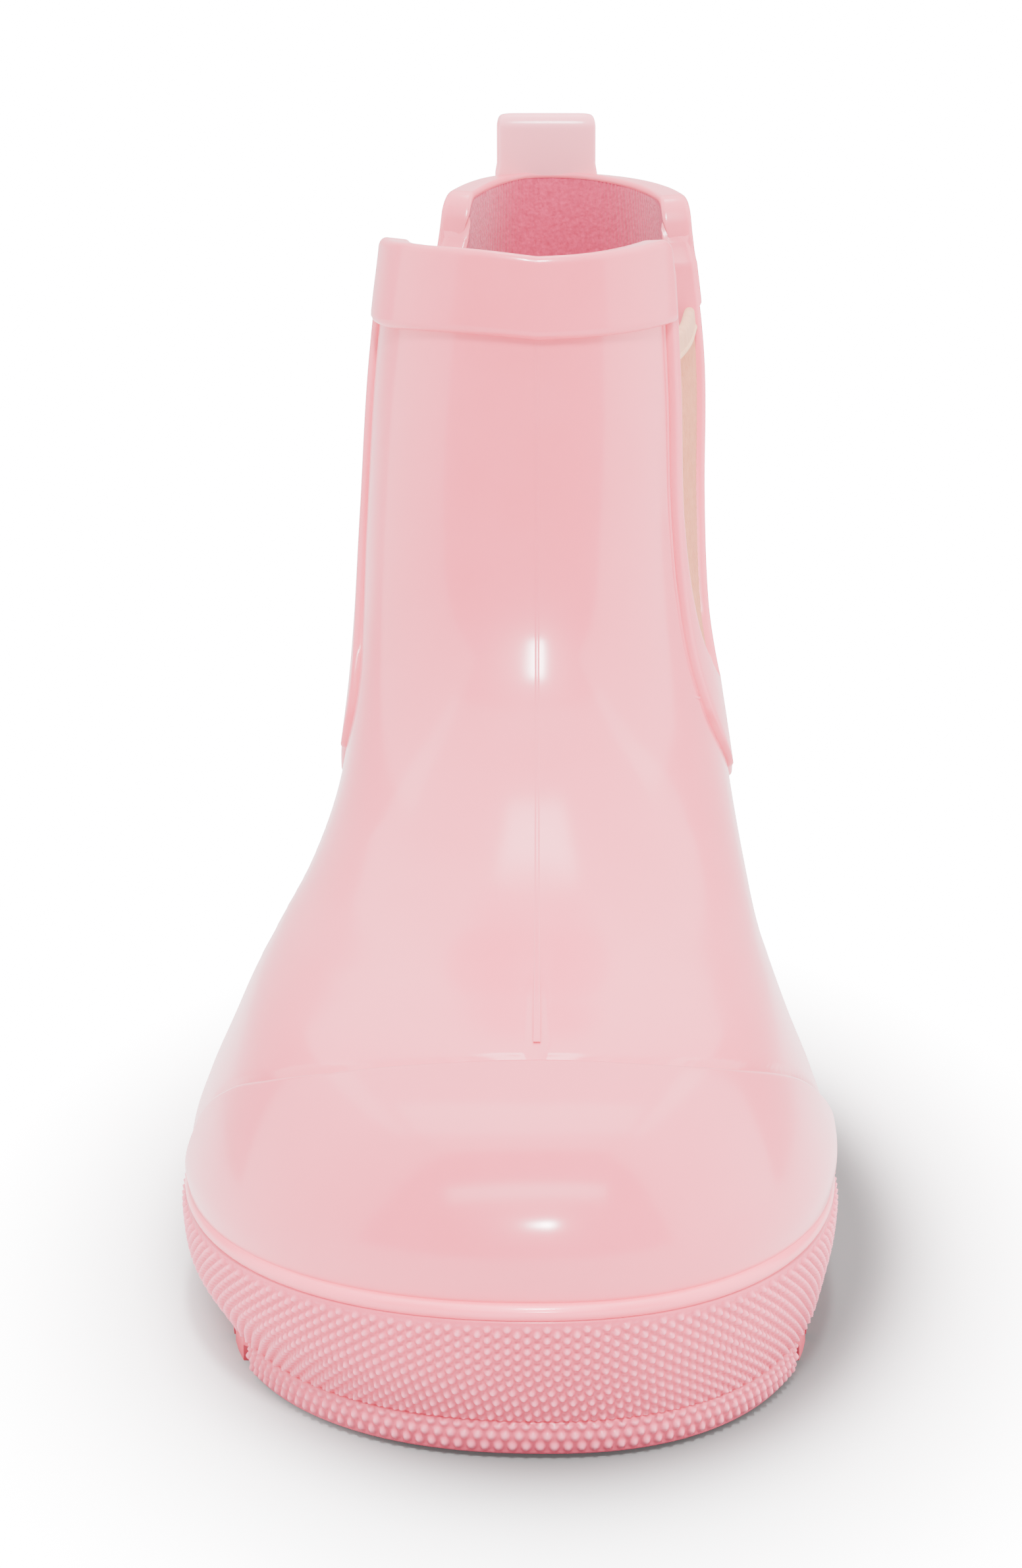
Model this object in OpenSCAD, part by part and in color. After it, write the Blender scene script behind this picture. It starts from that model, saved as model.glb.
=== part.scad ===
// Child's pull-on rain boot, right foot: moulded rubber foot and shaft, elastic side gores,
// collar bands, pull tab, wrapped rubber sole wall, low heel and a lift-out footbed.
// Millimetres, +Z up, toe towards -Y, medial side towards +X, ground at Z = 0.

/* [Overall size] */
// Length of the sole wall from toe to heel
sole_length = 190; // [180:1:202]
// Width of the sole wall across the ball of the foot
ball_width = 86; // [82:0.4:92]
// Width of the shaft below the collar bands
shaft_width = 50; // [48:0.5:54]
// Height of the front rim above the ground
front_height = 136; // [128:1:146]
// How far the lateral side of the rear panel curls inwards at the rim
curl = 4.1; // [0:0.1:8.5]
// How much higher the rear rim stands than the front rim
rear_rise = 7.4; // [4:0.2:10]

/* [Sole] */
// Height of the moulding on top of the sole wall
wall_top = 18.3; // [17.6:0.1:18.8]
// Overhang of the sole wall beyond the rubber foot at the toe
toe_overhang = 3.2; // [3:0.1:3.6]
// Overhang of the sole wall beyond the rubber foot at the sides
side_overhang = 2.2; // [2.2:0.1:2.6]
// Thickness of the sole wall
wall_t = 1.4; // [1.1:0.1:1.4]
// Depth of the tread lugs
lug_h = 2.6; // [2:0.1:3]
// Thickness of the outsole plate above the lugs
plate_t = 2; // [1.6:0.1:2.4]
// Front to back size of one tread lug
lug_len = 7; // [5:0.25:8]
// Pitch of the tread lugs
lug_pitch = 9.5; // [9.5:0.25:12]
// Front face of the heel
heel_front = 40; // [36:1:46]
// Height of the heel block
heel_h = 7.4; // [6:0.1:7.6]
// Thickness of the footbed
footbed_t = 4; // [2.5:0.25:5]

/* [Upper] */
// Thickness of the rubber shell
shell_t = 1.8; // [1.2:0.1:2]
// Thickness of the textile lining
lining_t = 1; // [0.6:0.1:1.1]
// Thickness of every raised overlay
overlay_t = 0.8; // [0.5:0.05:1.1]
// Front to back position of the rear edge of the toe cap, at its middle
toe_cap_y = -74.6; // [-77:0.2:-73]
// Height of the front collar band
band_h = 10.8; // [9:0.2:13]
// Height of the rear collar band
rear_band_h = 16.4; // [12:0.2:17]
// Width of the raised frame along the gores
frame_w = 2.6; // [2:0.1:3.2]
// Thickness of the elastic
gore_t = 1.2; // [0.8:0.1:1.4]

/* [Pull tab] */
// Width of the pull tab
tab_w = 15.2; // [12:0.2:18]
// Height of the loop above the rear rim
tab_h = 9.2; // [8:0.2:14]
// Thickness of the webbing in the loop
tab_t = 1.5; // [1:0.1:1.8]

/* [Hidden] */
gap = 0.2;
rim_h = 1.4;
lip_end = 60;
ky = sole_length / 190;
kx = ball_width / 86;
kw = shaft_width / 50;
top_z = front_height - rim_h;

// One row per level: front y, front z, back y, back z, y of the widest point, lateral half
// width, medial half width, fullness of the front curve, of the back curve, waist, y of the
// widest point on the lateral side.
stations = [
    [-89.2, 12, 91.8, 13, -33, 43.7, 36.5, 2.25, 3.0, 0.13, -33],
    [-91.1, 17, 92.6, 19, -33, 44.5, 37.3, 2.25, 3.0, 0.13, -33],
    [-92.4, 23.5, 93.4, 25, -33, 45.8, 38.7, 2.25, 3.0, 0.14, -33],
    [-90.6, 31.0, 93.0, 32, -32, 43.5, 36.6, 2.3, 3.0, 0.15, -32],
    [-85.5, 38.5, 92.2, 38.5, -30, 40.3, 33.7, 2.3, 2.95, 0.16, -30],
    [-76.0, 44.0, 90.8, 44, -26, 37.7, 31.6, 2.3, 2.9, 0.16, -26],
    [-61.0, 48.8, 89.6, 49, -19, 34.7, 29.8, 2.3, 2.85, 0.15, -19],
    [-44.0, 54.0, 88.0, 54.4, -6, 31.2, 28.7, 2.3, 2.75, 0.12, -6],
    [-27.0, 61.5, 86.2, 61.8, 10, 28.2, 27.6, 2.25, 2.65, 0.08, 8],
    [-12.0, 71.0, 84.4, 71.2, 26, 26.7, 26.3, 2.2, 2.55, 0.04, 18],
    [-2.0, 82.5, 83.2, 83, 36, 25.6, 24.8, 2.2, 2.5, 0.02, 22.4],
    [3.2, 97.0, 83.0, 98.5, 42, 24.8, 24.4, 2.2, 2.4, 0, 25.2],
    [6.2, 116.0, 84.2, 119, 44, 23.6, 24.6, 2.2, 2.35, 0, 27.8],
    [8.0, 134.6, 86.0, 142, 42, 21.6, 22.9, 2.2, 2.3, 0, 31]
];
v_top = len(stations) - 1;
v_feather = 1;
v_bead = 1.7;
cap_gap = 0.4;
v_split = 9.26;
v_gore0 = 9.36;
v_gore1 = 12.28;
v_frame0 = 8.0;

function flat(l) = [for (a = l) for (b = a) b];
function clamp(x, a, b) = min(max(x, a), b);
function ease(x) = let (t = clamp(x, 0, 1)) t * t * (3 - 2 * t);
function spline(a, b, c, d, t) = 0.5 * (2 * b + (c - a) * t
    + (2 * a - 5 * b + 4 * c - d) * t * t + (3 * b - a - 3 * c + d) * t * t * t);
function level(v) =
    let (n = len(stations) - 1, w = clamp(v, 0, n), i = min(floor(w), n - 1),
         p1 = stations[i], p2 = stations[i + 1],
         p0 = i == 0 ? 2 * p1 - p2 : stations[i - 1],
         p3 = i == n - 1 ? 2 * p2 - p1 : stations[i + 2])
    spline(p0, p1, p2, p3, w - i);

// Point of the boot's outer surface: u goes round from the toe (0) over the medial side (90)
// to the heel (180), v goes up from the sole to the rim.
function side_w(v) = 1 + (kw - 1) * ease((v - 4) / 7) + (kx - 1) * (1 - ease((v - 4) / 7));
function height_at(z) = z <= wall_top ? z : wall_top + (z - wall_top)
    * (top_z - wall_top) / (134.6 - wall_top);
function surf(v, u) =
    let (q = level(v), c = cos(u), s = sin(u), front = c > 0,
         e = 2 / (front ? q[7] : q[8]), yw = s < 0 ? q[10] : q[4],
         y = front ? yw - (yw - q[0]) * pow(abs(c), e) : yw + (q[2] - yw) * pow(abs(c), e),
         t = front ? 0 : (y - yw) / (q[2] - yw),
         w = (s > 0 ? q[6] : q[5]) * side_w(v),
         x = sign(s) * w * pow(abs(s), e) * (1 - q[9] * ease(t) - 2 * q[9] * t * (1 - t)),
         z = q[1] + (q[3] - q[1]) * (y - q[0]) / (q[2] - q[0]),
         bend = s < 0 ? curl * ease((v - 9.5) / 3.5) * 4 * t * (1 - t) : 0,
         tilt = 0.035 * abs(x) * ease((v - 11) / 2) * ease((60 - y) / 35),
         rise = (rear_rise - 7.4) * ease((v - 11) / 2) * (y - q[0]) / (q[2] - q[0]))
    [x + 1.6 * ease(t) + bend, y * ky, height_at(z) + rise + tilt];
function unit(a) = a / norm(a);
function normal(v, u) =
    let (h = v > v_top - 0.02 ? -0.02 : 0.02,
         du = surf(v, u + 0.4) - surf(v, u - 0.4),
         dv = (surf(v + h, u) - surf(v, u)) * sign(h))
    unit(cross(du, dv));
function skin(v, u, o) = surf(v, u) + o * normal(v, u);

// Angle round the boot of the point at front-to-back position y, side s = 1 medial, -1 lateral.
function u_at(y, v, s) =
    let (q = level(v), yy = y / ky, yw = s < 0 ? q[10] : q[4], front = yy < yw,
         r = front ? clamp((yw - yy) / (yw - q[0]), 0, 1)
                   : clamp((yy - yw) / (q[2] - yw), 0, 1),
         a = acos(pow(r, (front ? q[7] : q[8]) / 2)))
    s * (front ? a : 180 - a);

// Solid through a row of sections; each section lists its outer edge, then its inner edge
// the other way.
module loft(secs, closed = false) {
    n = len(secs);
    m = len(secs[0]);
    h = m / 2;
    sides = [for (i = [0 : closed ? n - 1 : n - 2]) for (k = [0 : m - 1])
        let (j = (i + 1) % n, l = (k + 1) % m)
        each [[i * m + k, i * m + l, j * m + l], [i * m + k, j * m + l, j * m + k]]];
    first = [for (k = [0 : h - 2])
        each [[k, m - 1 - k, m - 2 - k], [k, m - 2 - k, k + 1]]];
    last = [for (t = first) [for (a = [2, 1, 0]) (n - 1) * m + t[a]]];
    polyhedron(points = flat(secs), faces = closed ? sides : concat(sides, first, last));
}

// Shell patch between two edges given as angles per level, from level v0 to v1.
function row(v, ua, ub, n, o1, o0) = concat(
    [for (i = [n : -1 : 0]) skin(v, ua + (ub - ua) * i / n, o1)],
    [for (i = [0 : n]) skin(v, ua + (ub - ua) * i / n, o0)]);
// Shell all the way round, from level v0 to v1.
module tube(v0, v1, n, m, o1, o0) {
    loft([for (i = [0 : n - 1]) let (u = 360 * i / n) concat(
        [for (j = [m : -1 : 0]) skin(v0 + (v1 - v0) * j / m, u, o1)],
        [for (j = [0 : m]) skin(v0 + (v1 - v0) * j / m, u, o0)])], true);
}

// Edges of the gores and of the raised frames round them, per side.
function gore_front(v, s) = lookup(v, s > 0
    ? [[9.2, 17.4], [10.3, 17.8], [11.5, 19], [13, 20.6]]
    : [[9.2, 20], [10.3, 22], [11.5, 26], [13, 30]]);
function gore_rear(v, s) = lookup(v, s > 0
    ? [[9.2, 34], [10.3, 42], [11.5, 52], [13, 60]]
    : [[9.2, 36], [10.3, 44], [11.5, 54], [13, 64]]);
function frame_front(v, s) = gore_front(v, s) - lookup(v,
    [[7.8, 5], [8.6, 9], [9.3, 7.5], [10.2, 3.4], [11, frame_w], [13, frame_w]]);
function frame_rear(v, s) = gore_rear(v, s) + lookup(v,
    [[7.8, 2], [8.6, 5], [9.3, 6], [10.2, 3.4], [11, frame_w], [13, frame_w]]);

// ---- sole ----

// Outline of the sole wall seen from above, moved inwards by d.
function over(u) = side_overhang + (toe_overhang - side_overhang) * pow(cos(u), 2);
function outline(u, d) =
    let (p = surf(v_feather, u), t = surf(v_feather, u + 0.5) - surf(v_feather, u - 0.5),
         n = unit([t[1], -t[0]]))
    [p[0], p[1]] + (over(u) - d) * n;
// The foot of the wall is drawn in at the sides and stands slightly medially in the forefoot.
function low_share(z) = ease((12.4 - z) / 8);
function edge(u, d, z) =
    let (k = low_share(z), p = outline(u, d + 1.1 * k * pow(sin(u), 2)))
    [p[0] + 1.3 * k * ease((30 - p[1] / ky) / 60), p[1], z];
function signed(u) = u > 180 ? u - 360 : u;
function behind_lip(u) = 1.6 * (1 - ease((abs(signed(u)) - lip_end) / 5));
module plan(d, h, z = 0) {
    linear_extrude(height = h)
        polygon([for (i = [0 : 71]) let (p = edge(5 * i, d + behind_lip(5 * i), z))
            [p[0], p[1]]]);
}

// Underside of the outsole along the boot: flat forefoot, rising arch, raised heel seat.
function under(y) = lug_h + (heel_h - lug_h) * ease((y / ky - 10) / (heel_front - 14));
function wall_low(y) = under(y) + plate_t + 0.3;
function wall_high(y) = wall_top + 1.6 * ease((y / ky + 40) / 130);

// Slice of the sole between two heights above the underside; flat top if one is given.
module slice(d, lo, hi, flat_top = 0) {
    ys = [-100, each [8 : 2 : heel_front - 2], 100];
    last = len(ys) - 1;
    intersection() {
        plan(d, 30);
        translate([70, 0, 0]) rotate([90, 0, -90]) linear_extrude(height = 140)
            polygon(concat([for (y = ys) [-y * ky, under(y * ky) + lo]],
                [for (i = [last : -1 : 0])
                    [-ys[i] * ky, flat_top > 0 ? flat_top : under(ys[i] * ky) + hi]]));
    }
}

module tread() {
    count = floor((heel_front * ky - 20 + sole_length / 2 - 4) / lug_pitch);
    intersection() {
        plan(3.6, lug_h + 0.4);
        for (i = [0 : count - 1]) {
            y = -sole_length / 2 + 7 + (i + 0.5) * lug_pitch;
            for (x = [-30, 0, 30]) {
                translate([x, y + (x == 0 ? -lug_pitch / 4 : 0), 0])
                    cube([27, lug_len, 2 * lug_h + 0.8], center = true);
            }
        }
    }
}
module outsole() color("pink") {
    union() {
        slice(3.4, 0, plate_t);
        tread();
    }
}
module heel_block() color("pink") {
    difference() {
        intersection() {
            plan(2.8, heel_h - 0.02);
            translate([-60, heel_front * ky, -1]) cube([120, 100, 20]);
        }
        translate([0, heel_front * ky - 42, -1]) cylinder(r = 46, h = 20, $fn = 96);
        for (y = [13 : 10 : 43]) {
            translate([-60, heel_front * ky + y, -1]) cube([120, 2.6, 1 + lug_h]);
        }
    }
}
module sidewall() color("pink") {
    loft([for (i = [0 : 89]) let (u = 4 * i, y = outline(u, 0)[1],
            z0 = wall_low(y), z1 = wall_high(y), h = z1 - z0)
        [edge(u, 0.1, z1), edge(u, 0.5, z0 + 0.62 * h), edge(u, 2, z0 + 0.25 * h),
         edge(u, 3.2, z0), edge(u, 2.6 + wall_t, z0), edge(u, 1.8 + wall_t, z0 + 0.25 * h),
         edge(u, 0.5 + wall_t, z0 + 0.62 * h), edge(u, 0.1 + wall_t, z1)]], true);
}
module foxing_bead() color("pink") {
    loft([for (i = [0 : 89]) let (u = 4 * i, z = wall_high(outline(u, 0)[1]) + 1.25)
        [for (k = [0 : 7]) edge(u, 0.75 - 0.65 * cos(45 * k), z - 1.15 * sin(45 * k))]],
        true);
}
module toe_lip() color("pink") {
    top = lug_h + plate_t;
    loft([for (i = [0 : 30]) let (u = lip_end * (i / 15 - 1))
        [edge(u, 3.5, top), edge(u, 3.2, top * 0.5), edge(u, 3.8, 0.8),
         edge(u, 4.8, 0.8), edge(u, 4.8, top * 0.5), edge(u, 4.8, top)]]);
}
module midsole_filler() color("dimgray") slice(6.6, plate_t + 0.1, 0, 10.3);
module insole_board() color("burlywood") {
    translate([0, 0, 10.4]) plan(6.4, 1.4, 12);
}
module footbed() color("plum") {
    translate([0, 0, 12]) plan(9.8, footbed_t, 15);
}

// ---- foot ----

module foot_shell() color("pink") tube(0, v_split - 0.06, 60, 14, 0, -shell_t);
module foot_lining() color("palevioletred") {
    tube(0.02, v_split - 0.06, 60, 14, -shell_t - gap, -shell_t - gap - lining_t);
}
// Rear edge of the toe cap: highest and furthest forward at its middle, falling back to the
// sole on both sides.
function cap_edge(v, s) = (toe_cap_y + lookup(v, s > 0
    ? [[1.7, 44], [2.3, 39.6], [2.9, 32.4], [3.6, 22.6], [4.5, 7.4], [4.9, 2], [5.06, 0.3]]
    : [[1.7, 27.4], [2.9, 25.4], [3.3, 22.4], [3.8, 15.8], [4.1, 10.6], [4.6, 4], [4.9, 1.5],
       [5.06, 0.3]])) * ky;
module toe_cap() color("pink") {
    v1 = 5.02;
    loft([for (j = [0 : 12]) let (v = v_bead + (v1 - v_bead) * (1 - pow(1 - j / 12, 1.5)),
            a = u_at(cap_edge(v, 1), v, 1), b = u_at(cap_edge(v, -1), v, -1))
        row(v, b, a, 26, cap_gap + overlay_t, cap_gap)]);
}
module heel_counter() color("pink") {
    loft([for (j = [0 : 6]) let (v = v_bead + (6.4 - v_bead) * j / 6,
            a = 180 - 46 + 22 * pow(j / 6, 2))
        row(v, a, 360 - a, 22, cap_gap + overlay_t, cap_gap)]);
}

// ---- shaft ----

// Row of the front panel and of the rear panel, from gore to gore.
function front_row(v, n, o1, o0) = row(v, u_at(gore_front(v, -1), v, -1) + 0.8,
    u_at(gore_front(v, 1), v, 1) - 0.8, n, o1, o0);
function rear_row(v, n, o1, o0) = row(v, u_at(gore_rear(v, 1), v, 1) + 0.8,
    360 + u_at(gore_rear(v, -1), v, -1) - 0.8, n, o1, o0);
shaft_levels = [for (j = [0 : 12]) v_split + (v_top - v_split) * j / 12];

module front_shaft_panel() color("pink") {
    loft([for (v = shaft_levels) front_row(v, 18, 0, -shell_t)]);
}
module front_lining() color("palevioletred") {
    loft([for (v = shaft_levels)
        front_row(v, 18, -shell_t - gap, -shell_t - gap - lining_t)]);
}
module rear_shaft_panel() color("pink") {
    loft([for (v = shaft_levels) rear_row(v, 22, 0, -shell_t)]);
}
module rear_lining() color("palevioletred") {
    loft([for (v = shaft_levels)
        rear_row(v, 22, -shell_t - gap, -shell_t - gap - lining_t)]);
}

// Collar band: outer wall and a rim over the raw edge of the rubber, swept round between the
// angles in ends; its lower edge is at level vb, between the angles in low.
module collar(ends, low, n, vb) {
    o = gap + overlay_t + 0.3;
    up = [0, 0, 1];
    loft([for (k = [0 : n]) let (u = ends[0] + (ends[1] - ends[0]) * k / n,
            w = low[0] + (low[1] - low[0]) * k / n, p = surf(v_top, u), nn = normal(v_top, u))
        [skin(vb, w, o), p + o * nn, p + (o - 0.5) * nn + rim_h * up,
         p + (0.3 - shell_t) * nn + rim_h * up, p - shell_t * nn + (rim_h - 0.4) * up,
         p - shell_t * nn + gap * up, p - shell_t / 2 * nn + gap * up,
         p + gap * up, p + gap * nn, skin(vb, w, gap)]]);
}
function front_ends(v) = [u_at(gore_front(v, -1) - 0.5, v, -1),
    u_at(gore_front(v, 1) - 0.5, v, 1)];
function rear_ends(v) = [u_at(gore_rear(v, 1) + 0.5, v, 1),
    360 + u_at(gore_rear(v, -1) + 0.5, v, -1)];
module front_collar_band() color("hotpink") {
    vb = v_top - band_h / 20;
    collar(front_ends(v_top), front_ends(vb), 22, vb);
}
module rear_collar_band() color("hotpink") {
    vb = v_top - rear_band_h / 24;
    collar(rear_ends(v_top), rear_ends(vb), 26, vb);
}

// ---- gores ----

module gore(s) color("oldlace") {
    loft([for (j = [0 : 10]) let (v = v_gore0 + (v_gore1 - v_gore0) * j / 10,
            a = u_at(gore_front(v, s), v, s) + s * 1.2,
            b = u_at(gore_rear(v, s), v, s) - s * 1.2)
        row(v, s > 0 ? a : b, s > 0 ? b : a, 10, -0.2, -0.2 - gore_t)]);
}
module gore_hem(s) color("ivory") {
    v0 = v_gore1 + 0.02;
    a = u_at(gore_front(v0, s), v0, s) + s * 1.6;
    b = u_at(gore_rear(v0, s), v0, s) - s * 1.6;
    loft([for (i = [0 : 10]) let (u = s > 0 ? a + (b - a) * i / 10 : b + (a - b) * i / 10)
        [skin(v0 + 0.2, u, 0.1), skin(v0 + 0.1, u, 0.4), skin(v0, u, 0.1),
         skin(v0, u, -1.5), skin(v0 + 0.1, u, -1.8), skin(v0 + 0.2, u, -1.5)]]);
}
module gore_lateral() gore(-1);
module gore_medial() gore(1);
module gore_hem_lateral() gore_hem(-1);
module gore_hem_medial() gore_hem(1);

// Raised frame along the gore on the moving front panel.
module frame_front_side(s) color("deeppink") {
    vb = v_top - (band_h + 0.8) / 20;
    loft([for (j = [0 : 12]) let (v = v_split + 0.02 + (vb - v_split - 0.02) * j / 12,
            a = u_at(frame_front(v, s), v, s), b = u_at(gore_front(v, s) + 0.3, v, s))
        row(v, s > 0 ? a : b, s > 0 ? b : a, 4, gap + overlay_t, gap)]);
}
// Part of the frame below the gore, fixed to the foot.
module frame_base_side(s) color("deeppink") {
    loft([for (j = [0 : 8]) let (v = v_frame0 + (v_split - 0.08 - v_frame0) * j / 8,
            a = u_at(frame_front(v, s), v, s), b = u_at(frame_rear(v, s), v, s))
        row(v, s > 0 ? a : b, s > 0 ? b : a, 10, gap + overlay_t, gap)]);
}
// Part of the frame behind the gore, on the rear panel.
module frame_rear_side(s) color("deeppink") {
    vb = v_top - (rear_band_h + 0.8) / 24;
    loft([for (j = [0 : 12]) let (v = v_split + (vb - v_split) * j / 12,
            a = u_at(gore_rear(v, s) - 0.3, v, s), b = u_at(frame_rear(v, s), v, s))
        row(v, s > 0 ? a : b, s > 0 ? b : a, 4, gap + overlay_t, gap)]);
}
module frame_front_lateral() frame_front_side(-1);
module frame_front_medial() frame_front_side(1);
module frame_base_lateral() frame_base_side(-1);
module frame_base_medial() frame_base_side(1);
module frame_rear_lateral() frame_rear_side(-1);
module frame_rear_medial() frame_rear_side(1);

// ---- pull tab ----

tab_r = tab_t + 0.9;
rim = surf(v_top, 180);
tab_z = rim[2] + rim_h + 0.1 + tab_r;
tab_y = rim[1] - 0.7;
tab_x = rim[0];
module pull_tab() color("lightpink") {
    reach = tab_h - 2 * tab_r;
    translate([tab_x - tab_w / 2, tab_y, tab_z]) rotate([90, 0, 90]) difference() {
        union() {
            cylinder(r = tab_r, h = tab_w, $fn = 48);
            translate([0, reach, 0]) cylinder(r = tab_r, h = tab_w, $fn = 48);
            translate([-tab_r, 0, 0]) cube([2 * tab_r, reach, tab_w]);
        }
        translate([0, 0, -1]) cylinder(r = 0.9, h = tab_w + 2, $fn = 32);
        translate([0, reach, -1]) cylinder(r = 0.9, h = tab_w + 2, $fn = 32);
        translate([-0.9, 0, -1]) cube([1.8, reach, tab_w + 2]);
    }
}
module tab_anchor() color("lightpink") {
    o = 2 * gap + overlay_t + 0.3;
    loft([for (j = [0 : 6]) let (v = v_top - 1.1 + 1.08 * j / 6)
        row(v, 180 - 0.74 * tab_w, 180 + 0.74 * tab_w, 8, o + tab_t, o)]);
}

outsole();
heel_block();
sidewall();
foxing_bead();
toe_lip();
midsole_filler();
insole_board();
footbed();
foot_shell();
foot_lining();
toe_cap();
heel_counter();
front_shaft_panel();
front_lining();
rear_shaft_panel();
rear_lining();
front_collar_band();
rear_collar_band();
gore_lateral();
gore_medial();
gore_hem_lateral();
gore_hem_medial();
frame_front_lateral();
frame_front_medial();
frame_base_lateral();
frame_base_medial();
frame_rear_lateral();
frame_rear_medial();
pull_tab();
tab_anchor();
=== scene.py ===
import math
import bpy
import numpy as np
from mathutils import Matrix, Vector


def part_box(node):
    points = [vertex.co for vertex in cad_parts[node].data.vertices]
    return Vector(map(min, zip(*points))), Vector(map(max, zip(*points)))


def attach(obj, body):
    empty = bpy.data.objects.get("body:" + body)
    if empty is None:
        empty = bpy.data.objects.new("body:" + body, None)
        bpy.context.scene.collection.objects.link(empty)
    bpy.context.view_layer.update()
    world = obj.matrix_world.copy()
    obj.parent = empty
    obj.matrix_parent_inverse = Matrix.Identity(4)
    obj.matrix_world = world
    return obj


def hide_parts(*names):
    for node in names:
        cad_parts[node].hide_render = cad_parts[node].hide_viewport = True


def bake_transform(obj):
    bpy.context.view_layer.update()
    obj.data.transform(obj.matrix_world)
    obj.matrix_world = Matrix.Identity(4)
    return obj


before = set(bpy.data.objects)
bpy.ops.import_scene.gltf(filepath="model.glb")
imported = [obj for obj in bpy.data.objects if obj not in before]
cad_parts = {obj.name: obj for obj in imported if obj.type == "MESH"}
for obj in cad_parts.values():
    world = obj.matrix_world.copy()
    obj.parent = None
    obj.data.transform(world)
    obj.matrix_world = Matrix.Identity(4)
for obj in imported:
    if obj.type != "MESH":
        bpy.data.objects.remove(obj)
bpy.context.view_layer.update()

# ------------------------------------------------------------------ dimensions, mm
# The rubber boot is one lofted surface.  One row per level: front y, front z, back y, back z,
# y of the widest point, lateral and medial half width, fullness of the front and back curve,
# waist, y of the widest point on the lateral side.  These are the part's own levels; KX and
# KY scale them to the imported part.
LEVELS = np.array([
    [-89.2, 12, 91.8, 13, -33, 43.7, 36.5, 2.25, 3.0, 0.13, -33],
    [-91.1, 17, 92.6, 19, -33, 44.5, 37.3, 2.25, 3.0, 0.13, -33],
    [-92.4, 23.5, 93.4, 25, -33, 45.8, 38.7, 2.25, 3.0, 0.14, -33],
    [-90.6, 31.0, 93.0, 32, -32, 43.5, 36.6, 2.3, 3.0, 0.15, -32],
    [-85.5, 38.5, 92.2, 38.5, -30, 40.3, 33.7, 2.3, 2.95, 0.16, -30],
    [-76.0, 44.0, 90.8, 44, -26, 37.7, 31.6, 2.3, 2.9, 0.16, -26],
    [-61.0, 48.8, 89.6, 49, -19, 34.7, 29.8, 2.3, 2.85, 0.15, -19],
    [-44.0, 54.0, 88.0, 54.4, -6, 31.2, 28.7, 2.3, 2.75, 0.12, -6],
    [-27.0, 61.5, 86.2, 61.8, 10, 28.2, 27.6, 2.25, 2.65, 0.08, 8],
    [-12.0, 71.0, 84.4, 71.2, 26, 26.7, 26.3, 2.2, 2.55, 0.04, 18],
    [-2.0, 82.5, 83.2, 83, 36, 25.6, 24.8, 2.2, 2.5, 0.02, 22.4],
    [3.2, 97.0, 83.0, 98.5, 42, 24.8, 24.4, 2.2, 2.4, 0, 25.2],
    [6.2, 116.0, 84.2, 119, 44, 23.6, 24.6, 2.2, 2.35, 0, 27.8],
    [8.0, 134.6, 86.0, 142, 42, 21.6, 22.9, 2.2, 2.3, 0, 31]])
TOP = len(LEVELS) - 1
SHELL, LINING, OVERLAY, GAP = 1.8, 1.0, 0.8, 0.2
BAND_H, REAR_BAND_H, RIM_H = 10.8, 16.4, 1.4
FRONT_STEP, REAR_STEP = 20, 24    # height in mm of the topmost level, front and rear
CURL = 4.1              # how far the lateral side of the shaft leans inwards
SPLIT = 9.26            # level where the shaft divides into its front and rear
GORE_TOP = 12.3         # level of the gores' upper edge
ROUGH = 14, 0.10        # size and height of the rubber's slow unevenness


def mm(node):
    """Corners of a CAD part's box in mm."""
    lo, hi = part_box(node)
    return np.array(lo) * 1000, np.array(hi) * 1000


wall_lo, wall_hi = mm("sidewall")
KY = (wall_hi[1] - wall_lo[1]) / 190.3
KX = (wall_hi[0] - wall_lo[0]) / 86.0


def ease(x):
    """0 up to 0, 1 from 1 on, with a smooth rise between."""
    t = np.clip(x, 0, 1)
    return t * t * (3 - 2 * t)


def level(v):
    """Rows of LEVELS at any height, on a smooth curve through them."""
    n = len(LEVELS) - 1
    w = np.clip(np.asarray(v, float), 0, n)
    i = np.minimum(np.floor(w).astype(int), n - 1)
    t = (w - i)[..., None]
    p1, p2 = LEVELS[i], LEVELS[i + 1]
    p0 = np.where((i == 0)[..., None], 2 * p1 - p2, LEVELS[np.maximum(i - 1, 0)])
    p3 = np.where((i == n - 1)[..., None], 2 * p2 - p1, LEVELS[np.minimum(i + 2, n)])
    return 0.5 * (2 * p1 + (p2 - p0) * t + (2 * p0 - 5 * p1 + 4 * p2 - p3) * t ** 2
                  + (3 * p1 - p0 - 3 * p2 + p3) * t ** 3)


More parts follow.
